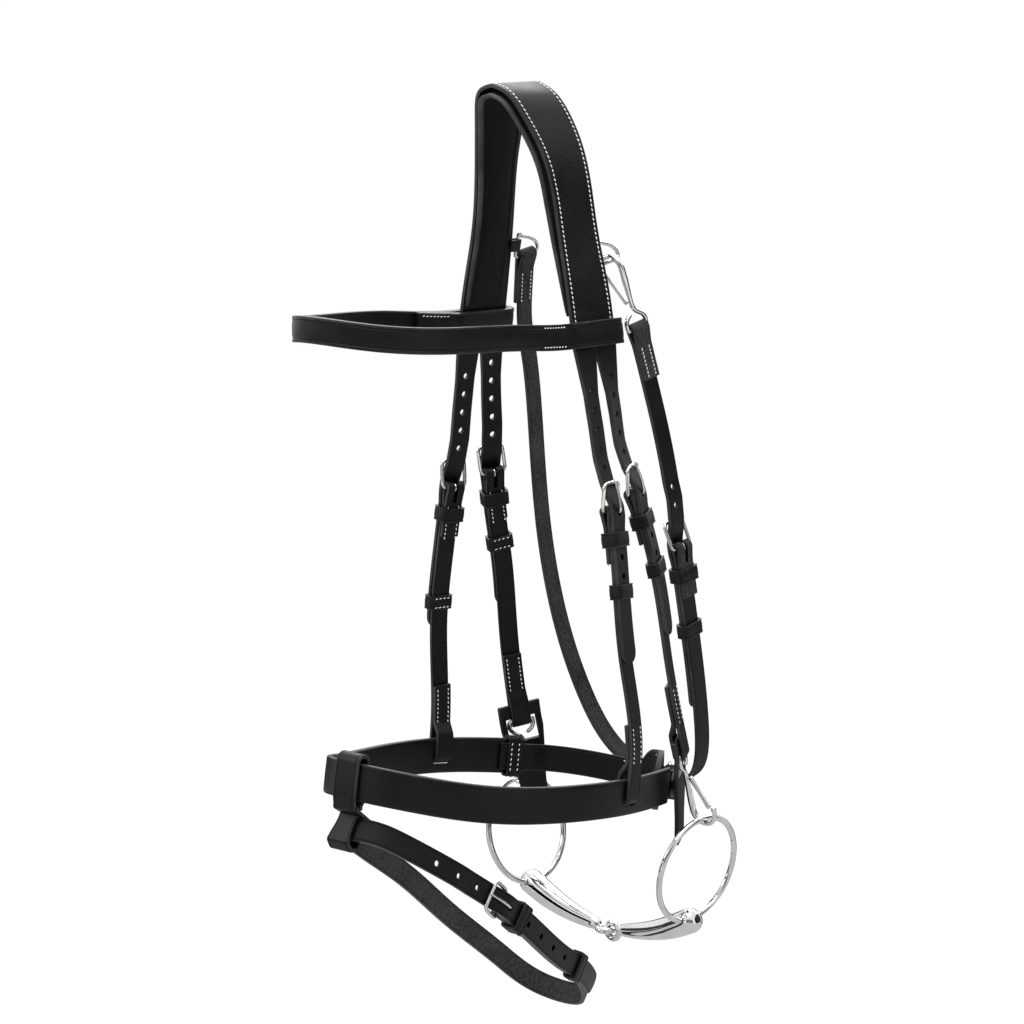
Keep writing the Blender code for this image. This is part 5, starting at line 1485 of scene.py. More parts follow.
@dataclass
class SnapClip:
    """A snap clip: a bent wire body with an eye and a hook, and its sprung gate."""

    finishes: Finishes
    wire: float = 0.0016
    length: float = 0.050
    hook: float = 0.0095
    gate_wire: float = 0.0015
    eye_height: float = 0.0105

    def make(self, name: str, bar: Vector, across: Vector, down: Vector, way: Vector) -> Vector:
        """Makes one clip.

        Args:
            name: its node.
            bar: where its eye's bar lies.
            across: along that bar.
            down: from the eye to the hook.
            way: the way the hook opens.

        Returns:
            Where the hook's lowest point is.
        """
        eye = STOCK.strap / 2 + STOCK.gap + self.wire
        low, c, hook = self.eye_height, self.wire, self.hook
        deep = self.length - hook
        bends = [(c * 1.8, 0.0, low), (eye * 0.75, 0.0, low * 0.84), (eye, 0.0, low * 0.55),
                 (eye, 0.0, c * 1.2),
                 (eye - c * 0.4, 0.0, c * 0.4), (eye - c * 1.4, 0.0, 0.0), (-eye + c * 1.4, 0.0, 0.0),
                 (-eye + c * 0.4, 0.0, c * 0.4), (-eye, 0.0, c * 1.2), (-eye, 0.0, low * 0.55),
                 (-eye * 0.75, 0.0, low * 0.84), (-c * 1.6, 0.0, low + c * 0.4),
                 (-c * 0.4, 0.0, low + c * 2.0),
                 (0.0, 0.0, low + c * 4.0), (0.0, 0.0, deep)]
        bends += [(0.0, hook + hook * math.cos(a), deep + hook * math.sin(a))
                  for a in np.radians(np.linspace(180.0 - 11.25, 0.0, 15))]
        nib = deep - c * 2.2
        bends.append((0.0, hook * 2, nib))
        route = Route.wire([bar + across * x + way * w + down * y for x, w, y in bends], rounds=2)
        swell = [(0.0, 0.95), (0.35, 1.0), (0.50, 1.05), (0.60, 1.45), (0.70, 1.35), (0.80, 1.15),
                 (0.93, 1.05),
                 (1.0, 1.2)]
        fit(bar_on(name, route, c, swell, 16), name, Slot.STEEL, self.finishes.steel)
        pivot = bar + way * (c + self.gate_wire + STOCK.gap) + down * (low + c * 4.0)
        tip = bar + way * (hook * 2 - c - self.gate_wire - STOCK.gap) + down * (nib + self.gate_wire)
        route = Route.wire([pivot.lerp(tip, part) for part in (0.0, 0.25, 0.5, 0.75, 1.0)], rounds=1)
        gate = bar_on(name + "_gate", route, self.gate_wire, [(0.0, 1.15), (0.5, 0.92), (1.0, 1.15)], 14)
        fit(gate, name + "_gate", Slot.STEEL, self.finishes.steel)
        return bar + down * self.length + way * hook


@dataclass
class CheekStraps:
    """The noseband hangers and the cheekpieces with their buckles, keepers, stitching and clip guards."""

    lines: StrapLines
    finishes: Finishes
    near_runner: float = 0.052
    far_runner: float = 0.080
    stitch_half: float = 0.0042
    clip_wire: float = 0.0016
    guard_thick: float = 0.0030
    guard_top: float = 0.0300
    guard_low: float = 0.0190
    guard_above: float = 0.0120
    guard_below: float = 0.0620
    guard_in: float = 0.0100
    guard_clear_at: float = 0.0140

    def make(self) -> None:
        """Makes both sides."""
        for side in Side:
            self.hanger(side)
            self.cheek(side)

    def finish(self, buckle: Buckle, path: list[Stop], node: str, kind: str, side: Side, lower: Stop) -> None:
        """Makes one strap with its hardware and stitches.

        Args:
            buckle: its buckle.
            path: the strap's stops.
            node: the strap's node.
            kind: hanger or cheek.
            side: the side.
            lower: from and to of the lower fold's stitches.
        """
        far = side is Side.FAR
        buckle.hardware(kind + "_buckle_" + side.word, kind + "_tongue_" + side.word)
        obj = Strip(node, Route.strap(buckle.line, path), STOCK.strap, crease=0.0011).make()
        buckle.tongue_slot(obj)
        smooth(obj)
        fit(obj, node, Slot.STRAP, self.finishes.strap, self.finishes.strap)
        under = -STOCK.lie - STOCK.leather / 2
        rows = fold_rows(buckle.line, buckle.heel + 0.012, buckle.heel + 0.036, self.stitch_half, under,
                         STOCK.leather / 2)
        rows += fold_rows(buckle.line, *lower, self.stitch_half, under, STOCK.leather / 2)
        Stitching().sew(node, rows, self.finishes.thread)
        runner = (self.far_runner if far else self.near_runner) if kind == "hanger" else self.near_runner
        buckle.keepers(kind + "_" + side.word, runner, far)

    def hanger(self, side: Side) -> None:
        """Makes one noseband hanger, its lower end round the noseband."""
        buckle = self.lines.buckle("hanger", side, self.finishes)
        seat = self.lines.seat
        end = buckle.line.length
        above = end - self.lines.band_width / 2 - STOCK.leather
        path = buckle.lower_path() + [(above, 0.0)] + arc(end, -seat, seat, 90, -90)
        path += [(above, -2 * seat), (above - STOCK.leather * 3, -STOCK.lie),
                 (above - STOCK.fold_return, -STOCK.lie)]
        self.finish(buckle, path, "noseband_hanger_" + side.word, "hanger", side,
                    (above - STOCK.fold_return + 0.002, above - 0.007))

    def cheek(self, side: Side) -> None:
        """Makes one cheekpiece, folded round its clip's eye, and the guard behind the clip."""
        buckle = self.lines.buckle("cheek", side, self.finishes)
        end = buckle.line.length
        fold = self.clip_wire + STOCK.gap + STOCK.leather / 2
        above = end - self.guard_above - STOCK.leather
        path = buckle.lower_path() + [(above, 0.0)] + arc(end, -fold, fold, 90, -90)
        path += [(above, -2 * fold), (above - STOCK.leather * 3, -STOCK.lie),
                 (above - STOCK.fold_return, -STOCK.lie)]
        self.finish(buckle, path, "cheekpiece_" + side.word, "cheek", side,
                    (above - STOCK.fold_return + 0.002, above - 0.007))
        self.guard(buckle.line, side, fold)

    def guard(self, line: Line, side: Side, fold: float) -> None:
        """Makes the leather tab that hangs in the cheekpiece's fold behind the bit clip."""
        end = line.length
        clear = self.clip_wire + self.guard_thick / 2 + STOCK.gap * 2
        path = [(end - self.guard_above, -fold), (end, -fold), (end + self.guard_clear_at, -fold - clear),
                (end + self.guard_below, -fold - clear - self.guard_in)]
        strip = Strip("guard", Route.strap(line, path, 2, 0.003), self.guard_top, self.guard_thick,
                      ease=0.0009,
                      widths=lambda share: 1.0 + (self.guard_low / self.guard_top - 1.0)
                      * np.clip(share * 2 - 0.5, 0.0, 1.0))
        obj = strip.make()
        eye = STOCK.strap / 2 + STOCK.gap + self.clip_wire * 2 + STOCK.gap * 2
        slit(obj, line, (end - self.clip_wire - STOCK.gap * 2, end + self.guard_clear_at), (-fold * 4, fold),
             (-eye, eye))
        smooth(obj)
        fit(obj, "clip_guard_" + side.word, Slot.STRAP, self.finishes.strap)


@dataclass
class Noseband:
    """The noseband, and behind it the narrow strap with its buckle, keeper, loop and chin pad."""

    lines: StrapLines
    finishes: Finishes
    near_share: float = 0.885
    far_share: float = 0.125
    rear_width: float = 0.018
    heel_back: float = 0.048
    tail: float = 0.044
    slot_room: float = 0.0007
    slot_top: float = 0.0019
    pad_width: float = 0.040
    pad_length: float = 0.075
    pad_thick: float = 0.0060

    def make(self) -> None:
        """Makes the band, then what closes it behind."""
        self.near_end = self.lines.noseband.length * self.near_share
        self.far_end = self.lines.noseband.length * self.far_share
        self.band()
        self.closing()
        self.chin_pad()
        self.rear_loop()

    def band(self) -> None:
        """Makes the thick front band with its hanger slots."""
        line = self.lines.noseband
        route = Route.strap(line, [(self.far_end, 0.0), (self.near_end, 0.0)], 0, 0.003)
        # The band's rims are lightened more strongly: partly wear, partly a painted highlight.
        strip = Strip("band", route, self.lines.band_width, self.lines.band_thick, crown=0.0002, ease=0.0013,
                      wear_and_highlight_amount=1.2)
        obj = strip.make()
        half = STOCK.strap / 2 + self.slot_room
        deep = self.lines.band_thick
        low = -self.lines.seat - STOCK.leather / 2 - STOCK.gap * 2
        for side in Side:
            s = self.lines.slots[side]
            slit(obj, line, (s - half, s + half), (-deep, deep), (low, -self.slot_top))
        smooth(obj)
        fit(obj, "noseband", Slot.STRAP, self.finishes.band)

    def closing(self) -> None:
        """Makes the buckled strap behind the jaw."""
        line = self.lines.noseband
        seat = self.lines.seat
        self.buckle = Buckle(line, self.near_end + self.heel_back, self.finishes, self.rear_width, -1.0,
                             self.rear_width + STOCK.spare)
        buckle = self.buckle
        buckle.hardware("noseband_buckle", "noseband_tongue")
        sewn = self.lines.band_thick + STOCK.leather * 6
        under = [(self.near_end + STOCK.leather * 5, 0.0), (self.near_end + STOCK.leather * 2, -seat),
                 (self.near_end - sewn, -seat)]
        obj = Strip("chape", Route.strap(line, buckle.lower_path() + under), self.rear_width,
                    crease=0.0013).make()
        buckle.tongue_slot(obj)
        smooth(obj)
        fit(obj, "noseband_chape", Slot.STRAP, self.finishes.strap, self.finishes.strap)
        end = self.far_end + line.length
        path = [(end + sewn, -seat), (end - STOCK.leather * 2, -seat), (end - STOCK.leather * 6, 0.0)]
        path += [(buckle.heel + buckle.length * 2, 0.0)] + buckle.billet_over()
        route = Route.strap(line, path + [(buckle.heel - self.tail, STOCK.lie)])
        obj = Strip("rear", route, self.rear_width, crease=0.0013, tip=True).make()
        spots = [buckle.spot(-buckle.tongue_wire * 2, buckle.over)]
        spots += [(buckle.heel + buckle.length + STOCK.pitch * (k + 0.9), 0.0) for k in range(2)]
        punch(obj, line, spots)
        smooth(obj)
        fit(obj, "noseband_rear_strap", Slot.STRAP, self.finishes.strap, self.finishes.strap)
        half = self.rear_width / 2 - 0.0022
        under = -STOCK.leather / 2 - 0.0001
        rows = fold_rows(line, buckle.heel + 0.040, buckle.heel + 0.056, half, under,
                         STOCK.leather / 2 + 0.0001)
        Stitching().sew("noseband_rear_strap", rows, self.finishes.thread)
        buckle.keepers("noseband", 0.0)

    def chin_pad(self) -> None:
        """Makes the soft pad under the jaw, crowned inside its sewn border."""
        n = -STOCK.leather / 2 - (STOCK.leather + 0.0016 + STOCK.gap * 2) - STOCK.gap - self.pad_thick / 2
        middle = self.buckle.heel
        route = Route.strap(self.lines.noseband,
                            [(middle - self.pad_length / 2, n), (middle + self.pad_length / 2, n)],
                            0, 0.002)
        # The chin pad's rims are lightened: partly wear, partly a painted highlight.
        obj = Strip("chin_pad", route, self.pad_width, self.pad_thick * 0.62, tip=True, start_tip=True,
                    crease=0.0034,
                    crown=0.0011, ease=0.0016, wear_and_highlight_amount=0.9, tip_reach=0.5, tip_round=0.998).make()
        fit(obj, "chin_pad", Slot.PAD, self.finishes.pad)
        rows = []
        for up in (-self.pad_thick * 0.31 - 0.0004, self.pad_thick * 0.31 + 0.0004):
            for across in (-1.0, 1.0):
                rows.append(Row(route, self.pad_width * 0.85, route.length - self.pad_width * 0.85,
                                across * (self.pad_width / 2 - 0.0034), up))
        Stitching(0.0032).sew("chin_pad", rows, self.finishes.thread)

    def rear_loop(self) -> None:
        """Makes the sewn loop where the narrow strap leaves the band on the far side."""
        line = self.lines.noseband
        length = 0.0095
        route = Route.loop(line, self.far_end + length, -self.lines.seat - STOCK.leather / 2 - STOCK.gap,
                           self.lines.band_thick / 2 + STOCK.gap, self.lines.band_width / 2 + STOCK.gap,
                           0.0016, 0.0016)
        obj = Strip("loop", route, length, 0.0016, crease=0.0012, ease=0.0004).make()
        fit(obj, "noseband_rear_loop", Slot.STRAP, self.finishes.strap)
        wide = self.lines.band_width / 2
        reach, end = wide * 0.85, route.length
        spans = ((0.0, reach), (end - reach, end), (end / 2 - reach, end / 2 + reach))
        rows = [Row(route, a, b, across, 0.0009) for across in (-0.0026, 0.0026) for a, b in spans]
        Stitching().sew("noseband_rear_loop", rows, self.finishes.thread)


@dataclass
class Bit:
    """The two bit clips, the rings hung on them and the jointed mouthpiece between the rings."""

    lines: StrapLines
    finishes: Finishes
    ring: float = 0.0365
    wire: float = 0.0020
    lean: float = 11.0
    drop: float = 0.0210
    end_radius: float = 0.0085
    neck: float = 0.0042
    eye: float = 0.0055
    eye_wire: float = 0.0022
    bow: float = 0.004
    room: float = 0.00035
    profile: tuple[Stop, ...] = ((0.00, 0.80), (0.03, 0.93), (0.07, 1.00), (0.16, 1.00), (0.32, 0.92),
                                 (0.55, 0.62),
                                 (0.78, 0.30), (0.93, 0.05), (1.00, 0.00))

    def make(self) -> None:
        """Makes the clips and the bit."""
        clip = SnapClip(self.finishes)
        ends = {}
        for side in Side:
            line = self.lines.cheek[side]
            place, along, out, across = line.frame(line.length)
            bar = place - out * (clip.wire + STOCK.gap + STOCK.leather / 2)
            way = Vector((side.value, 0, 0))
            way = (way - along * way.dot(along)).normalized()
            hook = clip.make("bit_clip_" + side.word, bar, across, along, way)
            lean = math.radians(self.lean)
            rise = Vector((math.sin(lean) * side.value, 0, math.cos(lean)))
            centre = hook - along * (clip.wire + self.wire + STOCK.gap) - rise * self.ring
            obj = self.round("ring", centre, rise, self.wire, self.ring, 128, 18)
            fit(obj, "bit_ring_" + side.word, Slot.STEEL, self.finishes.steel)
            ends[side] = (centre, rise)
        low = ends[Side.NEAR][0] - ends[Side.NEAR][1] * self.ring
        joint = Vector((0.0, low.y, low.z - self.drop))
        for side in Side:
            self.mouth_half(side, *ends[side], joint)

    @staticmethod
    def round(name: str, centre: Vector, rise: Vector, wire: float, radius: float, count: int, sides: int,
              other: Vector = Vector((0, 1, 0))) -> Piece:
        """A round ring of wire in the plane of two ways, rise and other."""
        deselect()
        bpy.ops.mesh.primitive_torus_add(major_segments=count, minor_segments=sides, major_radius=radius,
                                         minor_radius=wire)
        obj = just_added(name)
        turn = rows_of([rise, other, rise.cross(other)])
        move_points(obj, points_of(obj) @ turn + np.array(tuple(centre)))
        smooth(obj, 60.0)
        return obj

    def mouth_half(self, side: Side, centre: Vector, rise: Vector, joint: Vector) -> None:
        """Makes one tapered half of the mouthpiece, bored for its ring, ending in an eye of the middle link.

        Args:
            side: the side.
            centre: the middle of its ring.
            rise: the ring's way up.
            joint: the middle link.
        """
        place = centre - rise * self.ring
        way = (joint - place).normalized()
        eye_at = joint + Vector((side.value * (self.eye - self.eye_wire - STOCK.gap / 2), 0, 0))
        start = place - way * self.end_radius
        stop = eye_at - way * self.eye
        points = [start.lerp(stop, part) - Vector((0, 0, math.sin(math.pi * part) * self.bow))
                  for part in np.linspace(0.0, 1.0, 33)]
        shares = [(part, (self.neck + (self.end_radius - self.neck) * wide) / self.end_radius)
                  for part, wide in self.profile]
        fine = np.linspace(0.0, 1.0, 60)
        table = np.array(shares)
        eased = np.interp(fine, table[:, 0], table[:, 1])
        for _ in range(3):
            eased[1:-1] = (eased[:-2] + 2 * eased[1:-1] + eased[2:]) / 4
        obj = bar_on("mouth", Route.wire(points, rounds=1), self.end_radius, list(zip(fine, eased)), 40)
        turn = Vector((0, 1, 0)) if side is Side.NEAR else Vector((0, 0, 1))
        axis = Vector((1, 0, 0))
        carve(obj, self.round("eye", eye_at, axis, self.eye_wire, self.eye, 40, 16, turn.cross(axis)),
              "UNION")
        carve(obj, self.round("bore", centre, rise, self.wire + self.room, self.ring, 128, 24))
        smooth(obj, 45.0)
        fit(obj, "mouthpiece_" + side.word, Slot.STEEL, self.finishes.steel)


@dataclass
class Throatlatch:
    """The throatlatch: its near upper billet on a snap clip, the buckle and the long strap to the far dee."""

    dees: DeeRings
    finishes: Finishes
    way: tuple[Share, ...] = (
        (0.660, 0.450, 0.400), (0.730, 0.535, 0.520), (0.775, 0.605, 0.652), (0.765, 0.700, 0.790),
        (0.660, 0.830, 0.925), (0.390, 0.960, 1.020), (0.000, 1.020, 1.045))
    tail: float = 0.118
    runner_at: float = 0.058
    heel_drop: float = 0.150
    twist: float = 0.048

    def make(self) -> None:
        """Makes the clip, both straps and the buckle."""
        clip = SnapClip(self.finishes)
        dee, near_across, near_out = self.dees.bars[Side.NEAR]
        far, far_across, _ = self.dees.bars[Side.FAR]
        half = HEAD.points(self.way)
        fall = mirrored(half[:1])[0] - far
        fall = (fall - far_across * fall.dot(far_across)).normalized()
        end = [far + fall * share for share in (self.twist, STOCK.fold_flare, 0.0)]
        points = [dee + near_out * clip.hook] + half + mirrored(half[-2::-1]) + end
        rise = (half[1] - half[-1]).normalized()
        plane = Vector((0, -rise.z, rise.y)) / math.hypot(rise.y, rise.z)
        line = Line(points, [near_across] + [plane] * (len(points) - 3) + [-far_across] * 2, 1.0)
        bar_s = clip.length - clip.wire - self.dees.wire - STOCK.gap
        place, _, out, across = line.frame(bar_s)
        lie = -STOCK.lie
        bar = place + out * (lie / 2)
        up = (line.frame(0.0)[0] - bar).normalized()
        way = -near_out
        clip.make("throat_clip", bar, across, up, (way - up * way.dot(up)).normalized())
        heel = bar_s + self.heel_drop
        buckle = Buckle(line, heel, self.finishes, billet=STOCK.strap + STOCK.spare)
        buckle.hardware("throat_buckle", "throat_tongue")
        self.upper(buckle, clip, bar_s, lie)
        self.lower(buckle, lie)
        buckle.keepers("throat", self.runner_at)

    def upper(self, buckle: Buckle, clip: SnapClip, bar_s: float, lie: float) -> None:
        """Makes the billet, folded in the clip's eye and sewn, its tail through the buckle.

        Args:
            buckle: the throat buckle.
            clip: the clip.
            bar_s: where the clip's eye is.
            lie: the height of the fold's inner layer.
        """
        line, heel = buckle.line, buckle.heel
        fold = clip.wire + STOCK.gap + STOCK.leather / 2
        path = [(bar_s + STOCK.fold_return, lie), (bar_s + STOCK.fold_flare, lie)]
        path += arc(bar_s, lie / 2, fold, -70, -290)
        path += [(bar_s + STOCK.fold_flare, 0.0), (bar_s + STOCK.fold_return, 0.0),
                 (heel - buckle.length * 2.5, 0.0)]
        path += buckle.billet_over() + [(heel + self.tail, STOCK.lie)]
        obj = Strip("upper", Route.strap(line, path), STOCK.strap, crease=0.0011, tip=True,
                    flesh_way=1.0).make()
        spots = [buckle.spot(-buckle.tongue_wire * 2, buckle.over)]
        spots += [(heel - buckle.length - STOCK.pitch * (k + 0.9), 0.0) for k in range(2)]
        spots += [(heel + STOCK.pitch * (k * 1.6 + 2.3), STOCK.lie) for k in range(5)]
        punch(obj, line, spots)
        smooth(obj)
        fit(obj, "throat_upper", Slot.STRAP, self.finishes.strap, self.finishes.flesh)
        rows = fold_rows(line, bar_s + 0.012, bar_s + STOCK.fold_return - 0.001, 0.0034,
                         lie - STOCK.leather / 2,
                         STOCK.leather / 2)
        Stitching(0.0024).sew("throat_upper", rows, self.finishes.thread)

    def lower(self, buckle: Buckle, lie: float) -> None:
        """Makes the long strap from the buckle under the throat to the far dee.

        Args:
            buckle: the throat buckle.
            lie: the height of the fold's inner layer.
        """
        line = buckle.line
        end = line.length
        fold = self.dees.wire + STOCK.gap + STOCK.leather / 2
        path = buckle.lower_path() + [(end - STOCK.fold_flare, 0.0)]
        path += arc(end, 0.0, fold, 110, -110)
        path += [(end - STOCK.fold_flare, lie), (end - STOCK.fold_return, lie)]
        obj = Strip("long", Route.strap(line, path), STOCK.strap, crease=0.0011, flesh_way=1.0).make()
        buckle.tongue_slot(obj)
        smooth(obj)
        fit(obj, "throatlatch", Slot.STRAP, self.finishes.strap, self.finishes.flesh)
        rows = fold_rows(line, end - STOCK.fold_return + 0.001, end - 0.012, 0.0040, lie - STOCK.leather / 2,
                         STOCK.leather / 2)
        Stitching(0.0024).sew("throatlatch", rows, self.finishes.thread)


@dataclass
class Flash:
    """The flash tab on the noseband's front and the flash strap that runs through its lower loop."""

    lines: StrapLines
    finishes: Finishes
    way: tuple[Share, ...] = (
        (0.000, -1.020, 1.003), (0.210, -0.985, 1.004), (0.400, -0.890, 1.023), (0.500, -0.802, 1.043),
        (0.600, -0.558, 1.096), (0.575, -0.287, 1.160), (0.450, 0.021, 1.235), (0.190, 0.345, 1.301),
        (-0.110, 0.470, 1.344), (-0.375, 0.400, 1.335), (-0.525, 0.190, 1.280), (-0.525, -0.128, 1.199),
        (-0.450, -0.444, 1.118), (-0.350, -0.740, 1.055), (-0.200, -0.960, 1.010))
    width: float = 0.0150
    tab_width: float = 0.0190
    heel: float = 0.131
    tail: float = 0.155
    runner_at: float = 0.110
    seam: float = 0.003

    def make(self) -> None:
        """Makes the strap, its buckle and the tab."""
        points = HEAD.points(self.way)
        lengthwise = (points[8] - points[0]).normalized()
        sideways = (points[5] - points[11]).normalized()
        line = Line(points, sideways.cross(lengthwise).normalized(), 1.0, True)
        buckle = Buckle(line, self.heel, self.finishes, self.width, 1.0, self.width + STOCK.spare)
        buckle.hardware("flash_buckle", "flash_tongue")
        turn = line.length
        path = buckle.lower_path() + [(turn + self.heel - buckle.length * 2.5, 0.0)]
        path += [(turn + s, n) for s, n in buckle.billet_over()] + [(turn + self.heel + self.tail, STOCK.lie)]
        obj = Strip("flash", Route.strap(line, path), self.width, crease=0.0013, tip=True).make()
        buckle.tongue_slot(obj)
        spots = [buckle.spot(-buckle.tongue_wire * 2, buckle.over)]
        spots += [(self.heel - buckle.length - STOCK.pitch * (k * 1.5 + 0.8), 0.0) for k in range(3)]
        spots += [(self.heel + STOCK.pitch * (k * 1.5 + 2.2), STOCK.lie) for k in range(4)]
        punch(obj, line, spots)
        smooth(obj)
        fit(obj, "flash_strap", Slot.STRAP, self.finishes.strap, self.finishes.flesh)
        buckle.keepers("flash", self.runner_at)
        self.tab(line)

    def tab(self, line: Line) -> None:
        """Makes the tab sewn round the noseband's front, its lower loop round the flash strap."""
        nose = self.lines.noseband
        band = self.lines.band_width
        seat = self.lines.seat
        middle = nose.length / 2
        place, nose_along, nose_out, nose_up = nose.frame(middle)
        run = Line([place + nose_up * band, place, place - nose_up * band * 2], nose_along, 1.0)
        half = band / 2
        lie = STOCK.lie
        bow = (place - nose.at(middle + self.tab_width / 2)).dot(nose_out)
        core, _, strap_out, strap_up = line.frame(0.0)
        strap_bow = max((core - line.at(self.tab_width * part)).dot(strap_out) for part in (-0.5, 0.5))
        tab_place, tab_down, tab_out, _ = run.frame(band)
        wide = self.width / 2 + lie * 0.8
        outer = lie + STOCK.gap
        inner = -outer - strap_bow * 2

        def beside(up: float, far: float) -> Stop:
            """A stop beside the flash strap."""
            spot = core + strap_up * up + strap_out * far - tab_place
            return spot.dot(tab_down), spot.dot(tab_out)

        inside = seat + bow + STOCK.gap
        seam = half + lie + self.seam
        path = [(seam, -lie), (half + lie, -lie), (half - lie / 2, -inside), (-half, -inside)]
        path += arc(-half, (seat - inside) / 2, (seat + inside) / 2, -90, -270)[1:]
        path += [(half - lie / 2, seat), (half + lie, lie), (seam, lie)]
        path += [beside(wide, outer), beside(-wide, outer), beside(-wide - lie, (outer + inner) / 2)]
        path += [beside(-wide, inner), beside(wide, inner)]
        path += [(seam, 0.0), (half + lie + STOCK.gap * 2, 0.0)]
        route = Route.strap(run, [(band + s, n) for s, n in path], 3, 0.0025)
        strip = Strip("tab", route, self.tab_width, crease=0.0016, ease=0.0009, widths=self.waist)
        fit(strip.make(), "flash_tab", Slot.STRAP, self.finishes.strap)

    def waist(self, share: np.ndarray) -> np.ndarray:
        """The tab's width at each share of its length: drawn in at the seam and at the lower loop's end."""
        return 1.0 - 0.20 * np.exp(-((share - 0.58) / 0.06) ** 2) - 0.22 * np.exp(-((share - 0.80)
                                                                                    / 0.05) ** 2)


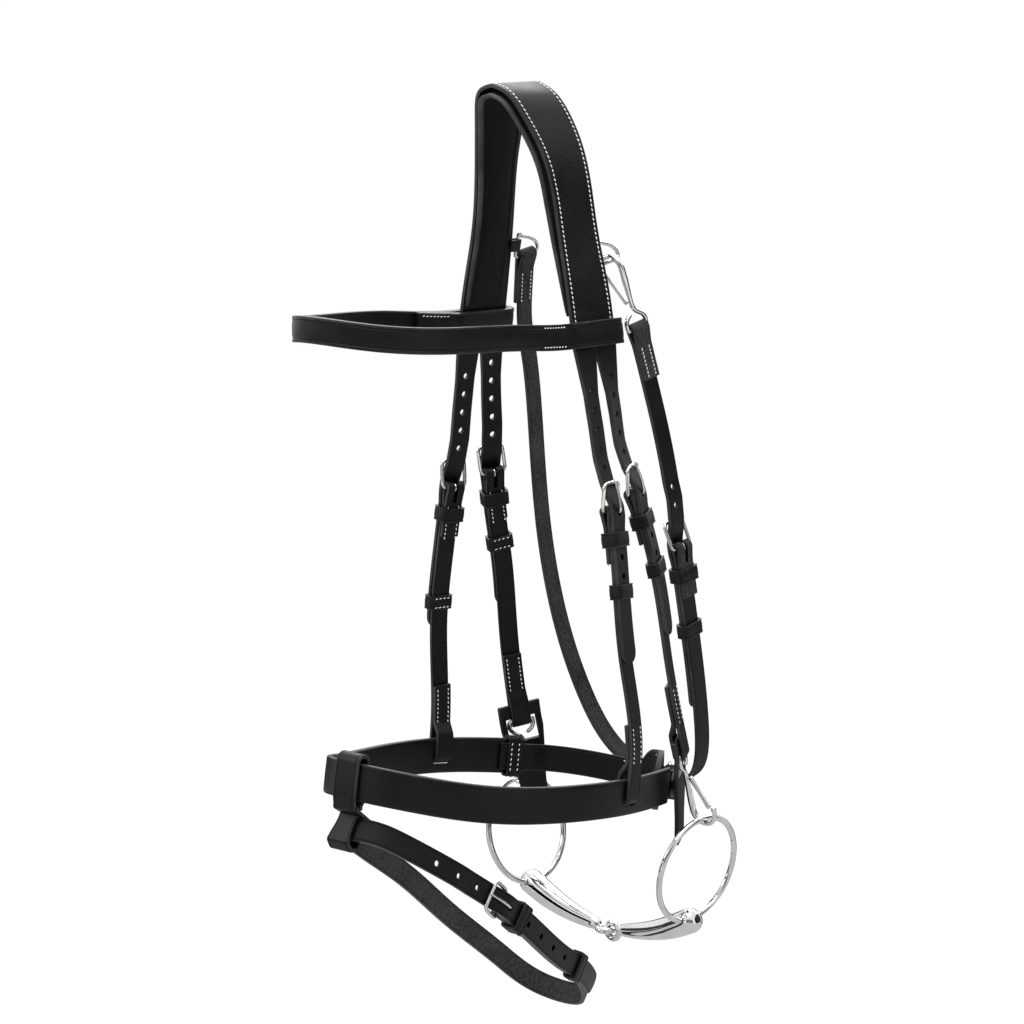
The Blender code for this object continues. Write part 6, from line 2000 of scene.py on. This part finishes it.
@dataclass
class Studio:
    """A white studio: floor and backdrop, soft boxes, dark cards for the metal to mirror, and the camera."""

    azimuth: float = 44.15
    elevation: float = 9.3
    distance: float = 2.5
    target: tuple[float, float, float] = (0.0, -0.00315, -0.2678)
    lens: float = 135.2
    floor_below: float = 0.10

    def make(self) -> None:
        """Sets up the studio."""
        scene = bpy.context.scene
        scene.view_settings.view_transform = "Standard"
        self.world()
        self.floor()
        self.lamps()
        self.cards()
        self.camera()

    def seen(self, wiring: Wiring) -> Socket:
        """1 for what the camera, a mirror or glass sees, 0 for light that bounces."""
        path = wiring.node("LightPath").outputs
        first = {0: path["Is Camera Ray"], 1: path["Is Glossy Ray"]}
        seen = wiring.node("Math", first, operation="MAXIMUM").outputs[0]
        return wiring.node("Math", {0: seen, 1: path["Is Transmission Ray"]}, operation="MAXIMUM").outputs[0]

    def world(self) -> None:
        """A white world that lights the object gently."""
        world = bpy.data.worlds.new("studio_white")
        bpy.context.scene.world = world
        world.use_nodes = True
        wiring = Wiring(world)
        soft = wiring.node("Background", {"Color": (0.97, 0.98, 1.0, 1.0), "Strength": 0.62}).outputs[0]
        white = wiring.node("Background", {"Color": WHITE, "Strength": 1.0}).outputs[0]
        wiring.show(wiring.node("MixShader", {0: self.seen(wiring), 1: soft, 2: white}), "World")

    def floor(self) -> None:
        """A wide white floor that keeps the object's shadow."""
        low = CAD_BOX[0][2] - self.floor_below
        deselect()
        bpy.ops.mesh.primitive_grid_add(x_subdivisions=12, y_subdivisions=12, size=120.0,
                                        location=(0.0, 0.0, low))
        floor = just_added("studio_floor")
        wiring = Wiring(bpy.data.materials.new("studio_floor_white"))
        bounce = wiring.node("BsdfDiffuse", {"Color": (0.80, 0.80, 0.80, 1.0)}).outputs[0]
        shade = wiring.node("BsdfDiffuse", {"Color": (0.05, 0.05, 0.05, 1.0)}).outputs[0]
        glow = wiring.node("Emission", {"Color": WHITE, "Strength": 0.965}).outputs[0]
        both = wiring.node("AddShader", {0: shade, 1: glow}).outputs[0]
        wiring.show(wiring.node("MixShader", {0: self.seen(wiring), 1: bounce, 2: both}), "Material")
        floor.data.materials.append(wiring.material)

    def look(self, azimuth: float, elevation: float, distance: float) -> Vector:
        """A place round the object: degrees from -Y towards +X, degrees up, and metres from the target."""
        a, e = math.radians(azimuth), math.radians(elevation)
        way = Vector((math.sin(a) * math.cos(e), -math.cos(a) * math.cos(e), math.sin(e)))
        return Vector(self.target) + way * distance

    def lamps(self) -> None:
        """Soft boxes above, at the left and behind."""
        boxes = (("overhead_box", 40.0, 76.0, 1.6, 1.3, 32.0), ("left_box", -42.0, 18.0, 2.0, 0.8, 9.0),
                 ("right_box", 172.0, 30.0, 2.1, 0.8, 3.0), ("rear_box", 222.0, 46.0, 2.0, 1.8, 32.0))
        for name, azimuth, elevation, distance, size, power in boxes:
            light = bpy.data.lights.new(name, "AREA")
            light.shape = "SQUARE"
            light.size = size
            light.energy = power
            obj = bpy.data.objects.new(name, light)
            bpy.context.scene.collection.objects.link(obj)
            obj.location = self.look(azimuth, elevation, distance)
            obj.rotation_euler = (Vector(self.target) - obj.location).to_track_quat("-Z", "Y").to_euler()

    def cards(self) -> None:
        """Grey and black cards round the object, seen only in what mirrors them."""
        low = CAD_BOX[0][2] - self.floor_below
        cards = (("grey_front", 46.0, 3.2, 0.30, 3.8, 2.0, 0.24),
                 ("black_front_left", 16.0, 3.1, 0.20, 0.50, 1.7, 0.0),
                 ("black_front_right", 76.0, 3.1, 0.20, 0.45, 1.7, 0.0),
                 ("black_left", -28.0, 2.5, -0.05, 0.9, 1.2, 0.0),
                 ("black_right", 116.0, 2.5, -0.05, 0.9, 1.2, 0.0),
                 ("black_rear", 224.0, 1.0, -0.525, 2.6, 0.33, 0.01),
                 ("grey_right", 138.0, 2.6, 0.15, 2.3, 1.7, 0.04),
                 ("grey_left", -52.0, 2.6, 0.10, 1.5, 1.6, 0.05))
        for name, azimuth, distance, high, wide, tall, level in cards:
            place = self.look(azimuth, 0.0, distance)
            self.card(name, Vector((place.x, place.y, high)), math.radians(azimuth), False, wide, tall, level)
        self.card("grey_floor", Vector((0.0, 0.0, low + 0.012)), math.radians(44.0), True, 3.0, 3.0, 0.62)
        self.card("black_floor", Vector((-0.42, 0.42, low + 0.016)), math.radians(44.0), True, 1.8, 0.45,
                  0.02)
        self.card("black_high", self.look(5.0, 48.0, 1.5), math.radians(5.0), True, 0.8, 0.35, 0.0)

    def card(self, name: str, place: Vector, turn: float, flat: bool, wide: float, tall: float,
             level: float) -> None:
        """A card of one grey that only mirrors see.

        Args:
            name: its name.
            place: its middle.
            turn: the way it faces, round from -Y towards +X, in radians.
            flat: whether it lies flat instead of standing.
            wide: its width.
            tall: its height, or its depth when flat.
            level: its grey.
        """
        deselect()
        bpy.ops.mesh.primitive_grid_add(x_subdivisions=2, y_subdivisions=2, size=1.0)
        card = just_added(name)
        card.scale = (wide, tall, 1.0)
        card.location = place
        card.rotation_euler = (0.0 if flat else math.pi / 2, 0.0, turn)
        wiring = Wiring(bpy.data.materials.new(name))
        wiring.show(wiring.node("Emission", {"Color": (level, level, level, 1.0), "Strength": 1.0}),
                    "Material")
        card.data.materials.append(wiring.material)
        card.visible_camera = card.visible_diffuse = card.visible_shadow = card.visible_transmission = False

    def camera(self) -> None:
        """The camera at the photograph's place."""
        camera = bpy.data.cameras.new("studio_camera")
        camera.lens = self.lens
        camera.sensor_width = 36.0
        camera.clip_end = 200.0
        obj = bpy.data.objects.new("studio_camera", camera)
        bpy.context.scene.collection.objects.link(obj)
        obj.location = self.look(self.azimuth, self.elevation, self.distance)
        obj.rotation_euler = (Vector(self.target) - obj.location).to_track_quat("-Z", "Y").to_euler()
        bpy.context.scene.camera = obj


def main() -> None:
    """Builds the bridle piece by piece, then the studio."""
    logging.basicConfig(level=logging.INFO, format="%(message)s")
    finishes = Finishes()
    lines = StrapLines()
    dees = DeeRings(lines, finishes)
    makers = (Headpiece(lines, finishes), Browband(lines, finishes), dees, CheekStraps(lines, finishes),
              Noseband(lines, finishes), Bit(lines, finishes), Throatlatch(dees, finishes),
              Flash(lines, finishes))
    for maker in makers:
        maker.make()
        LOG.info("made: %s", type(maker).__name__)
    Studio().make()


if __name__ == "__main__":
    main()
